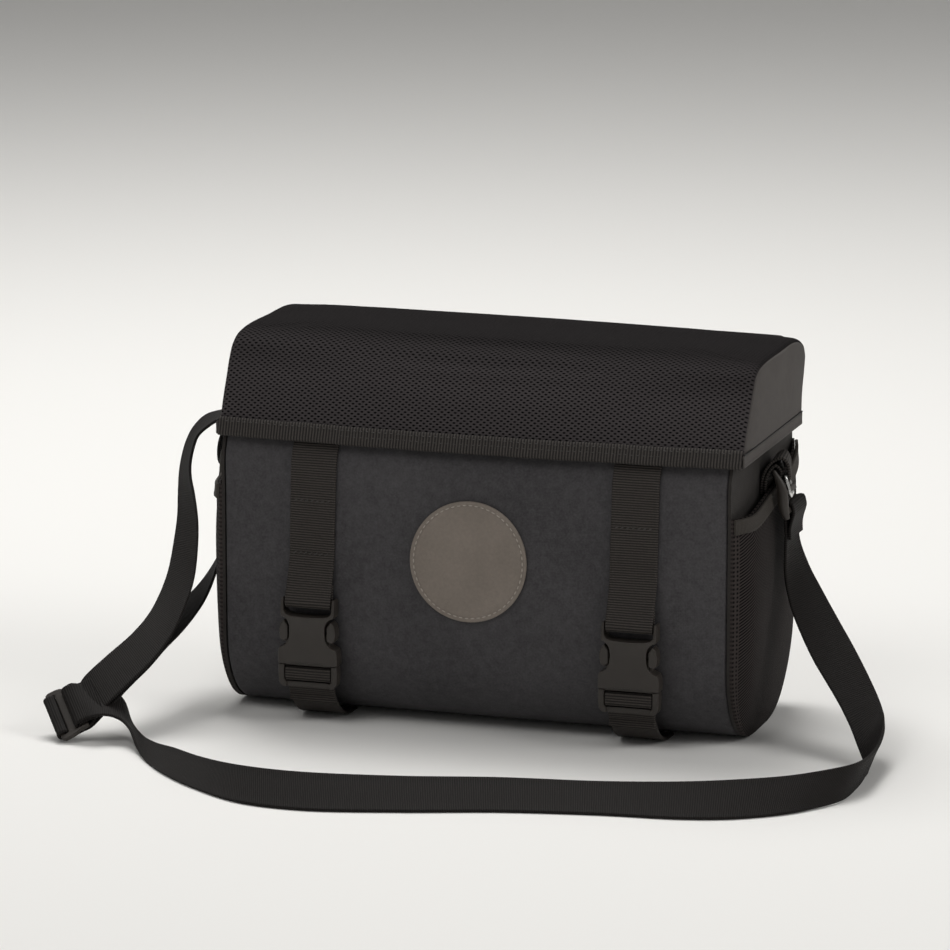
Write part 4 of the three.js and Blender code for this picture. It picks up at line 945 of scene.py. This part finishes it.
def patch_stitches():
    rows = []
    for t in np.linspace(0, 2 * math.pi, 200):
        x = PATCH_X + 0.935 * PATCH_RADIUS * math.cos(t)
        z = PATCH_Z + 0.935 * PATCH_RADIUS * math.sin(t)
        rows.append([*front_point(x, z, CLEAR + 0.9 * PATCH_WALL), *front_out(x, z)])
    return dress(joined("patch_stitches", seam(rows, 2.1, 1.1, 0.36)), "pale_thread")


# Lid

def lid_profile():
    rows = [(0, LID_FRONT + back * LID_DEPTH, LID_LEVEL + up * LID_HEIGHT, swell, push)
            for back, up, swell, push in LID_ROWS]
    return with_normals(smooth_line(rows, 2.6), -1), with_normals(np.array(rows), -1)


LID_PROFILE, LID_CORNERS = lid_profile()
PANEL_HALF = LID_HALF - CAP_WALL - CLEAR
MESH_HALF = PANEL_HALF + 1.6


def lid_point(row, across, half, lift):
    _, y, z, swell, push, ny, nz = row
    pushed = LID_PUSH * push * ((1 - across) / 2) ** 2
    out = LID_SWELL * swell * (1 - abs(across) ** 6) + pushed + lift
    return np.array([LID_SHIFT + across * half, y + ny * out, max(z + nz * out, LID_LEVEL)])


def read_points(mesh):
    flat = np.zeros(3 * len(mesh.vertices))
    mesh.vertices.foreach_get("co", flat)
    return flat.reshape(-1, 3)


def inflate(piece, pinned, pressure, frames, cap):
    """Puffs a closed piece up as cloth. Pinned points stay, and none moves further than cap."""
    rest = read_points(piece.data)
    group = piece.vertex_groups.new(name="pinned")
    group.add([int(i) for i in pinned], 1.0, "REPLACE")
    cloth = piece.modifiers.new("cloth", "CLOTH")
    cloth.point_cache.frame_start = 1
    cloth.point_cache.frame_end = frames
    settings = {
        "vertex_group_mass": "pinned", "quality": 5, "mass": 0.15, "tension_stiffness": 12,
        "compression_stiffness": 12, "shear_stiffness": 5, "bending_stiffness": 0.4, "use_pressure": True,
        "uniform_pressure_force": pressure,
    }
    for key, value in settings.items():
        setattr(cloth.settings, key, value)
    cloth.settings.effector_weights.gravity = 0
    scene = bpy.context.scene
    for number in range(1, frames + 1):
        scene.frame_set(number)
    graph = bpy.context.evaluated_depsgraph_get()
    moved = read_points(piece.evaluated_get(graph).data) - rest
    piece.modifiers.remove(cloth)
    scene.frame_set(1)
    far = np.linalg.norm(moved, axis=1, keepdims=True)
    moved *= np.minimum(1, cap * MM / np.maximum(far, 1e-9))
    piece.data.vertices.foreach_set("co", (rest + moved).astype(np.float32).ravel())
    piece.data.update()


def lid_panel():
    def point(row, x, wall):
        drop = roll_off(x, MESH_HALF, LID_ROLL) * 0.45 * (wall == 0)
        return lid_point(row, x / PANEL_HALF, PANEL_HALF, -wall - drop)

    places = edged_places(MESH_HALF, 84, LID_ROLL)
    piece = walled("lid_mesh", LID_PROFILE, places, LID_WALL, point)
    rows, columns = len(LID_PROFILE), len(places)
    index = np.arange(rows * columns).reshape(rows, columns)
    edges = [index[:5], index[-3:], index[:, :6], index[:, -6:]]
    inside = np.arange(rows * columns, 2 * rows * columns)
    pinned = np.concatenate([*[edge.ravel() for edge in edges], inside])
    inflate(piece, pinned, pressure=3.0, frames=14, cap=1.2)
    dress(piece, "mesh", "lid_panel")
    return piece


def lid_side(side, word):
    outline = [lid_point(row, side, LID_HALF, -1.7)[1:] for row in LID_PROFILE]
    middle = np.array([LID_FRONT + 0.53 * LID_DEPTH, LID_LEVEL + 0.5 * LID_HEIGHT])
    shares = [0.5, 1, 1, 0.992, 0.982, 0.97, 0.955, 0.93, 0.88, 0.8, 0.68, 0.52, 0.35, 0.15, 0.02]
    lifts = [-CAP_WALL, -CAP_WALL, -1.6, -0.9, -0.45, -0.15, 0, 0.1, 0.25, 0.45, 0.7, 0.85, 0.95, 1, 1]
    rings = []
    for number, (share, lift) in enumerate(zip(shares, lifts)):
        ring = []
        for y, z in outline:
            flat = middle + share * (np.array([y, z]) - middle)
            dent = 0.5 * ripple((0, *flat), 22, 4 * side) * (number > 5)
            ring.append([LID_SHIFT + side * (LID_HALF + lift + dent), *flat])
        rings.append(ring)
    uv = [(p[1], p[2]) for ring in rings for p in ring]
    # the lid's ends take the side cloth with painted light, lighter than the side panels
    return dress(tube(f"lid_end_{word}", rings, uv=uv), "side_cloth_painted_light", f"lid_side_{word}")


def lid_hem(side, word):
    """The band sewn along the lower edge of a lid's end."""
    stations = []
    for s in np.linspace(0.01, 0.965, 44):
        x = LID_SHIFT + side * (LID_HALF + 0.3)
        stations.append([x, LID_FRONT + s * LID_DEPTH, LID_LEVEL + HEM_HEIGHT / 2 + 0.2, *Z_AXIS])
    piece, _ = strip(f"lid_hem_{word}", stations, HEM_HEIGHT, HEM_WALL)
    seam_line = [[at[0] + side * 0.4, at[1], LID_LEVEL + HEM_HEIGHT + 0.5] for at in stations]
    line = tube(f"lid_hem_seam_{word}", rod(seam_line, 0.42, 8, False, X_AXIS))
    dress(line, "dark_thread")
    # the hem takes the side cloth with painted light as well
    return dress(piece, "side_cloth_painted_light")


def lid_hem_stitches(side, word):
    rows = [
        [[LID_SHIFT + side * (LID_HALF + 0.75), LID_FRONT + s * LID_DEPTH, LID_LEVEL + z, side, 0, 0]
         for s in np.linspace(0.03, 0.955, 40)]
        for z in (1.9, 5.7)
    ]
    bodies = [body for row in rows for body in seam(row, 2.3, 1.1, 0.24)]
    return dress(joined(f"lid_hem_stitches_{word}", bodies), "thread")


def binding_sag(x):
    """How far the bound hem wanders up and down."""
    wander = 0.45 * ripple((x, 0, 0), 38, 6) + 0.2 * ripple((x, 0, 0), 11, 2)
    return wander - 1.6 * (1 - (x / PANEL_HALF) ** 2)


def binding_point(x, drop, lift):
    """A place on the bound hem: down from its top edge, and out of the lid."""
    hem = lid_point(LID_PROFILE[0], x / PANEL_HALF, PANEL_HALF, 0)
    above = lid_point(LID_PROFILE[4], x / PANEL_HALF, PANEL_HALF, 0)
    up = unit(above - hem)
    out = np.array([0, -up[2], up[1]])
    return hem + (BINDING_HEIGHT - drop + binding_sag(x)) * up + lift * out, out


def lid_binding():
    foot = BINDING_HEIGHT
    section = [
        (0.3, 0.2), (0, 0.8), (0.5, 1.35), (2, 1.5), (4, 1.45), (6, 1.5), (foot - 1.2, 1.55),
        (foot - 0.3, 1.35), (foot + 0.25, 0.6), (foot + 0.3, -0.6), (foot + 0.1, -2.2), (foot - 1, -3.2),
        (foot - 3, -3.4), (foot - 3, -3.1), (foot - 0.8, -2.9), (foot - 0.3, -0.4), (foot - 0.6, 0.2),
        (4, 0.2),
    ]
    places = np.linspace(-MESH_HALF, MESH_HALF, 190)
    rings = []
    for x in places:
        rings.append([
            binding_point(x, drop, lift + 0.12 * ripple((x, drop, 0), 5, 9))[0] for drop, lift in section
        ])
    uv = [(drop, x) for x in places for drop, _ in section]
    return dress(tube("hem_binding", rings, uv=uv), "tape", "lid_binding")


def binding_stitches():
    rows = []
    for x in np.linspace(-PANEL_HALF + 2, PANEL_HALF - 2, 240):
        at, out = binding_point(x, 2.2 + 0.3 * ripple((x, 0, 0), 21, 4), 1.5)
        rows.append([*at, *out])
    bodies = seam(rows, 1.9, 1.5, 0.3)
    inner = []
    for x in np.linspace(-STRAP_X + 14, STRAP_X + 14, 160):
        at, out = binding_point(x, 5.2 + 0.4 * ripple((x, 0, 0), 25, 12), 1.48)
        inner.append([*at, *out])
    bodies += seam(inner, 1.8, 1.6, 0.26)
    return dress(joined("binding_stitches", bodies), "thread")


def lid_piping():
    row = LID_CORNERS[PIPING_ROW]
    path = []
    for s in np.linspace(0.012, 0.988, 80):
        sunk = 2.4 * max(abs(2 * s - 1) - 0.93, 0) / 0.046
        path.append(lid_point(row, 2 * s - 1, PANEL_HALF, 0.35 * PIPING_RADIUS - sunk))
    return dress(tube("back_piping", rod(path, PIPING_RADIUS, 14, False, Z_AXIS)), "side_cloth", "lid_piping")


# Buckles and their straps

NEAR_EDGE = STRAP_X - STRAP_SHIFT - SOCKET_WIDTH / 2
BUCKLE_Y = front_point(NEAR_EDGE, BUCKLE_TOP - WAIST_TOP, 0)[1] - BUCKLE_GAP - SOCKET_THICK / 2
WINDOW_HALF = WEB_WIDTH / 2 + 0.4
SLOT = WEB_THICK + 2 * CLEAR + 0.4
LADDER_FOOT = BUCKLE_TOP - FRAME_FOOT + FOOT_BAR + SLOT
LADDER_Z = LADDER_FOOT + LADDER_BAR / 2
BEHIND_LADDER = LADDER_THICK / 2 + 1.5 * CLEAR + HALF_WEB
BEHIND_FOOT = THIN_BAR / 2 + CLEAR + HALF_WEB


def mirrored(half):
    return half + [(-a, b) for a, b in reversed(half)]


def bow(start, end, bulge, count=7):
    """A bowed line between two points, its middle pushed aside by bulge."""
    a, b = np.array(start, float), np.array(end, float)
    aside = np.array([b[1] - a[1], a[0] - b[0]]) / np.linalg.norm(b - a)
    return [tuple(a + (b - a) * t + aside * bulge * 4 * t * (1 - t)) for t in np.linspace(0, 1, count)]


def buckle_plate(outline, deep, at):
    """A plate in the buckle's plane, as deep in front of it as behind it."""
    return plate_body(outline, -deep, deep, X_AXIS, Z_AXIS, -Y_AXIS, at)


def socket(x, word):
    ear = WEB_WIDTH / 2 + EAR_PLAY
    outer = ear + EAR_WIDTH + 0.15
    foot = -SOCKET_HEIGHT
    half = [
        (0, -EAR_DEPTH - 1.1), (0.6 * ear, -EAR_DEPTH - 0.9), (0.88 * ear, -EAR_DEPTH - 0.2),
        (ear, -0.8 * EAR_DEPTH), (ear, -0.6), (ear + 0.25, 0), (outer - 0.25, 0), (outer + 0.1, -0.6),
        (outer + 0.25, -WAIST_TOP + 2), *bow((outer, -WAIST_TOP + 0.6), (WAIST_HALF, -WAIST_TOP - 3.6), 0.9),
        *bow((WAIST_HALF - 0.2, -WAIST_TOP - 5), (WAIST_HALF, -WAIST_FOOT + 4), 0.2),
        *bow((WAIST_HALF + 0.3, -WAIST_FOOT + 3), (outer + 0.6, -WAIST_FOOT - 1.2), 0.9),
        (SOCKET_WIDTH / 2 - 0.2, -WAIST_FOOT - 3.2), (SOCKET_WIDTH / 2, -WAIST_FOOT - 6),
        (SOCKET_WIDTH / 2, foot), (CAVITY_HALF, foot + 0.1), (0.5 * CAVITY_HALF, foot + 1.1), (0, foot + 1.5),
    ]
    at = np.array([x, BUCKLE_Y, BUCKLE_TOP])
    deep = SOCKET_THICK / 2
    bodies = [buckle_plate(mirrored(half[:-1]), deep, at)]
    bar = [[x + t, BUCKLE_Y, BUCKLE_TOP - BAR_DROP] for t in np.linspace(-ear - 0.6, ear + 0.6, 5)]
    bodies.append(rod_body(bar, BAR_RADIUS, 12, Z_AXIS))

    def crown(p):
        across = abs(p[0] - x) / (SOCKET_WIDTH / 2)
        drop = BUCKLE_TOP - p[2]
        front = max((BUCKLE_Y - p[1]) / deep, 0)
        low = 1.5 * across**2.2
        top = 1.7 * max(1 - drop / 9, 0) ** 1.3
        dish = 0.5 * math.exp(-((drop - 18) / 7) ** 2) * max(1 - across**2 * 2, 0)
        return [p[0], p[1] + front * (low + top + dish), p[2]]

    piece = moulded(f"buckle_shell_{word}", bodies, 0.42, crown)
    return dress(piece, "plastic", f"buckle_socket_{word}")


def crossbar(half, foot, top, thick, at):
    outline = [(-half, -foot), (half, -foot), (half, -top), (-half, -top)]
    return buckle_plate(outline, thick / 2, at)


def buckle_frame(x, word):
    at = np.array([x, BUCKLE_Y, BUCKLE_TOP])
    top = SOCKET_HEIGHT + CLEAR
    slot_top = FRAME_FOOT - FOOT_BAR - 2 * SLOT - LADDER_BAR
    rail = SOCKET_WIDTH / 2 - 0.3
    ladder_foot = FRAME_FOOT - FOOT_BAR - SLOT
    deep = FRAME_THICK / 2
    inside = CAVITY_HALF - CLEAR
    bodies = []
    for side in (-1, 1):
        outline = [(WINDOW_HALF, -top), (rail, -top), (rail + 0.2, -top - 3), (rail, -FRAME_FOOT + 4)]
        outline += [(rail - 3.6 + 3.6 * math.cos(t), -FRAME_FOOT + 3.6 - 3.6 * math.sin(t))
                    for t in np.linspace(0.2, math.pi / 2, 6)]
        outline += [(WINDOW_HALF - 1.2, -FRAME_FOOT), (WINDOW_HALF - 1.2, -FRAME_FOOT + FOOT_BAR * 0.8),
                    (WINDOW_HALF, -FRAME_FOOT + FOOT_BAR + 1)]
        bodies.append(buckle_plate(flipped(side, outline), deep, at))
    for half, low, high, thick in [
        (rail - 2, FRAME_FOOT, FRAME_FOOT - FOOT_BAR, THIN_BAR),
        (WINDOW_HALF + 1, ladder_foot, ladder_foot - LADDER_BAR, LADDER_THICK),
        (WINDOW_HALF + 1, slot_top, top, 0.7 * FRAME_THICK),
        (inside, slot_top - 1, SOCKET_HEIGHT - 4.5, CAVITY_THICK - 2 * CLEAR),
    ]:
        bodies.append(crossbar(half, low, high, thick, at))
    for side in (-1, 1):
        tab = [(WAIST_HALF + 0.7, -WAIST_FOOT + 3.2), (TAB_REACH - 2.4, -WAIST_FOOT + 1.8),
               (TAB_REACH - 0.7, -WAIST_FOOT + 3), (TAB_REACH, -WAIST_FOOT + 6), (TAB_REACH, -WAIST_TOP - 7),
               (TAB_REACH - 0.9, -WAIST_TOP - 3.4), (TAB_REACH - 2.6, -WAIST_TOP - 1.4),
               (WAIST_HALF + 0.7, -WAIST_TOP - 4.4)]
        bodies.append(buckle_plate(flipped(side, tab), TAB_THICK / 2 - 0.3, at))
        arm = [(8.6, -SOCKET_HEIGHT + 4), (inside, -SOCKET_HEIGHT + 4), (inside, -WAIST_FOOT - 0.4),
               (12.6, -WAIST_FOOT + 3), (12.6, -WAIST_FOOT + 6), (9.2, -WAIST_FOOT + 6)]
        bodies.append(buckle_plate(flipped(side, arm), 2.2, at))
    piece = moulded(f"buckle_ladder_{word}", bodies, 0.4)
    return dress(piece, "plastic", f"buckle_frame_{word}")


def front_strap(x, word):
    lift = CLEAR + HALF_WEB
    heights = [STRAP_HEM, 150, 140, 122.9, 102, 89]
    stations = []
    for z in heights:
        across = unit(front_point(x + WEB_WIDTH / 2, z, lift) - front_point(x - WEB_WIDTH / 2, z, lift))
        stations.append([*front_point(x, z, lift), *across])
    bar_z = BUCKLE_TOP - BAR_DROP
    radius = BAR_RADIUS + CLEAR + HALF_WEB
    for y, z in arc_points((BUCKLE_Y, bar_z), radius, 165, 330, 6):
        stations.append([x, y, z, *X_AXIS])
    for back, up in ((0.9, 4), (1.1, 9.5)):
        stations.append([x, BUCKLE_Y + back * radius, bar_z + up, *X_AXIS])
    piece, _ = strip(f"front_webbing_{word}", stations, step=1.5)
    return dress(piece, "webbing", f"front_strap_{word}")


def tack_stitches(x, heights, word):
    """Rows of slanting stitches that hold a front strap to the bag."""
    bodies = []
    for z in heights:
        rows = []
        for t in np.linspace(-10.6, 10.6, 30):
            lift = CLEAR + WEB_THICK
            rows.append([*front_point(x + t, z + 0.25 * math.sin(2.1 * t), lift), *front_out(x + t, z)])
        bodies += seam(rows, 2.6, 0.5, 0.42, slant=0.38)
    return dress(joined(f"tack_stitches_{word}", bodies), "thread")


def lower_strap(x, word):
    start = front_point(x, 2.6, CLEAR + HALF_WEB)
    end = BUCKLE_Y + BEHIND_FOOT
    foot = BUCKLE_TOP - FRAME_FOOT
    places = [(start[1] + (end - start[1]) * along, max(up * foot, HALF_WEB)) for along, up in LOWER_ROWS]
    lower_slot = foot + FOOT_BAR + SLOT / 2
    upper_slot = LADDER_FOOT + LADDER_BAR + SLOT / 2
    front = BUCKLE_Y - BEHIND_LADDER
    back = BUCKLE_Y + BEHIND_LADDER
    tail = end + WEB_STEP
    places += [
        (end, foot + 0.4), (end, lower_slot - 1.5), (end - 0.8, lower_slot - 0.1), (BUCKLE_Y, lower_slot),
        (front + 0.7, lower_slot + 0.2), (front, lower_slot + 1.4), (front, LADDER_Z),
        (front, upper_slot - 1.4), (front + 0.7, upper_slot - 0.2), (BUCKLE_Y, upper_slot),
        (back - 0.7, upper_slot - 0.2), (back, upper_slot - 1.4), (back + 0.4, LADDER_Z), (tail, lower_slot),
        (tail, foot), (tail + 1, foot - 9),
    ]
    piece, _ = strip(f"lower_webbing_{word}", [[x, y, z, *X_AXIS] for y, z in places], step=1.5, floor=True)
    return dress(piece, "webbing", f"lower_strap_{word}")


# Side fittings

def hook(side, word):
    at = Fitting(side)
    inner = RING_HALF + RING_WIRE + CLEAR
    outer = inner + HOOK_RAIL
    rings = []
    count, sides = 26, 14
    for t in np.linspace(0, 1, count):
        drop = -0.4 + (HOOK_LENGTH + 0.6) * t
        sway = 0.9 * math.sin(2 * math.pi * (t - 0.1))
        wide = (2.2 + 1.5 * t) * math.sin(math.pi * (0.08 + 0.84 * t)) ** 0.7
        deep = (1.7 + 0.8 * t) * math.sin(math.pi * (0.08 + 0.84 * t)) ** 0.6
        middle = at.point(-(inner + outer) / 2, drop, sway)
        rings.append([middle + wide * math.cos(a) * at.outward + deep * math.sin(a) * Y_AXIS
                      for a in np.arange(sides) * 2 * math.pi / sides])
    bodies = [(np.array(rings).reshape(-1, 3), capped_faces(count, sides))]
    half = HOOK_THICK / 2
    for end, high, low in [
        (inner - 8, TONGUE_TOP, TONGUE_FOOT), (inner - 2.6, HOOK_FOOT - HOOK_RAIL, HOOK_FOOT),
    ]:
        outline = [(-inner - 1, high), (end, high), (end, low), (-inner - 1, low)]
        bodies.append(plate_body(outline, -half, half, Y_AXIS, at.down, at.outward, at.top))
    return dress(moulded(f"snap_hook_{word}", bodies, 0.32), "plastic", f"hook_{word}")


def wire_ring(side, word):
    at = Fitting(side)
    skew = unit(Y_AXIS - TWIST * at.outward + 0.08 * at.down)
    box = rounded_box(-RING_HALF, RING_HALF, RING_TOP, TONGUE_FOOT + 1.6, RING_CORNER, 6)
    path = [at.point(0, b, 0) + a * skew for a, b in box]
    dense = []
    for a, b in zip(path, path[1:] + path[:1]):
        count = max(1, round(np.linalg.norm(b - a) / 1.5))
        dense += [a + (b - a) * k / count for k in range(count)]
    aside = unit(np.cross(skew, at.down))
    piece = tube(f"wire_ring_{word}", rod(dense, 0.8 * RING_WIRE, 14, True, aside), closed=True)
    return dress(piece, "wire", f"ring_{word}")


def side_loop(side, word):
    at = Fitting(side)
    bar = at.point(0, RING_TOP, 0)
    radius = RING_WIRE + 1.5 * CLEAR + HALF_WEB
    flat = SIDE_X + panel_dome(0.5, bar[2] / BODY_HEIGHT) + CLEAR + HALF_WEB
    reach = abs(bar[0])
    places = [
        (flat, -8.5, 0), (flat + 0.2, -3.5, 0), (flat + 1.2, 3, 0.2), (flat + 4.4, 8.2, 0.5),
        (reach - 1.4, 10.2, 0.7), (reach + 1.3, 7, 0.9), (reach + 1.8, 2, 1),
        *[(x, z, 1) for x, z in arc_points((reach - 0.4, 0), radius, -12, -165, 5)],
        (reach - 2.5, 3, 1), (flat + 5.2, 6, 0.7), (flat + 3, 2.8, 0.4), (flat + 1.9, -2.5, 0),
        (flat + 1.8, -7.5, 0),
    ]
    stations = []
    for x, z, share in places:
        across = unit(Y_AXIS - share * TWIST * at.outward)
        stations.append([side * x, FITTING_Y, bar[2] + z, *across])
    piece, _ = strip(f"loop_webbing_{word}", stations, step=1.2)
    return dress(piece, "webbing", f"side_loop_{word}")


# Studio

# Soft lamps: place in metres, size and power
LAMPS = [
    ("top", (-0.5, 0.75, 1.9), 1.1, 33),
    ("right", (1.9, -0.3, 1.3), 1.0, 14),
    ("front", (-0.6, -1.5, 2.1), 1.2, 12),
]
# Backdrop, in metres: the floor's half width and front and back edges, the curve's radius, and the top
FLOOR_HALF, FLOOR_FRONT, FLOOR_BACK, CURVE, WALL_TOP = 5, -5, 3.4, 0.7, 3.6


def studio():
    """A pale floor that curves up into a backdrop, and soft light."""
    profile = [(FLOOR_FRONT, 0), (FLOOR_BACK, 0)]
    for t in np.linspace(0.1, math.pi / 2, 14):
        profile.append((FLOOR_BACK + CURVE * math.sin(t), CURVE - CURVE * math.cos(t)))
    profile += [(FLOOR_BACK + CURVE, WALL_TOP)]
    points = [(x / MM, y / MM, z / MM - 0.1) for y, z in profile for x in (-FLOOR_HALF, FLOOR_HALF)]
    faces = [(2 * i, 2 * i + 1, 2 * i + 3, 2 * i + 2) for i in range(len(profile) - 1)]
    sweep = new_piece("studio_sweep", points, faces)
    sweep.data.materials.append(FINISH["paper"])
    bpy.context.scene.view_settings.view_transform = "Standard"
    world = bpy.data.worlds.new("studio")
    bpy.context.scene.world = world
    world.use_nodes = True
    background = world.node_tree.nodes["Background"]
    background.inputs["Color"].default_value = (1.0, 0.99, 0.975, 1)
    background.inputs["Strength"].default_value = 0.2
    for name, at, size, power in LAMPS:
        data = bpy.data.lights.new(name, "AREA")
        data.size = size
        data.energy = power
        data.color = (1.0, 0.99, 0.97)
        lamp = bpy.data.objects.new(name, data)
        lamp.location = at
        lamp.rotation_euler = (Vector((0, 0, 0.08)) - Vector(at)).to_track_quat("-Z", "Y").to_euler()
        bpy.context.scene.collection.objects.link(lamp)


def dress_bag():
    body_wrap()
    patch()
    patch_stitches()
    lid_panel()
    lid_binding()
    binding_stitches()
    lid_piping()
    for word, side in (("left", -1), ("right", 1)):
        side_panel(side, word)
        pocket(side, word)
        pocket_band(side, word)
        lid_side(side, word)
        lid_hem(side, word)
        lid_hem_stitches(side, word)
        strap_x = side * STRAP_X + STRAP_SHIFT
        front_strap(strap_x, word)
        socket(strap_x, word)
        buckle_frame(strap_x, word)
        lower_strap(strap_x, word)
        side_loop(side, word)
        wire_ring(side, word)
        hook(side, word)
    tack_stitches(STRAP_SHIFT - STRAP_X, (119, 91.5), "left")
    tack_stitches(STRAP_SHIFT + STRAP_X, (116.6, 86.7), "right")


make_camera()
strap_length = shoulder_strap(tri_glide())
print("shoulder strap, metres:", round(strap_length, 3))
dress_bag()
studio()
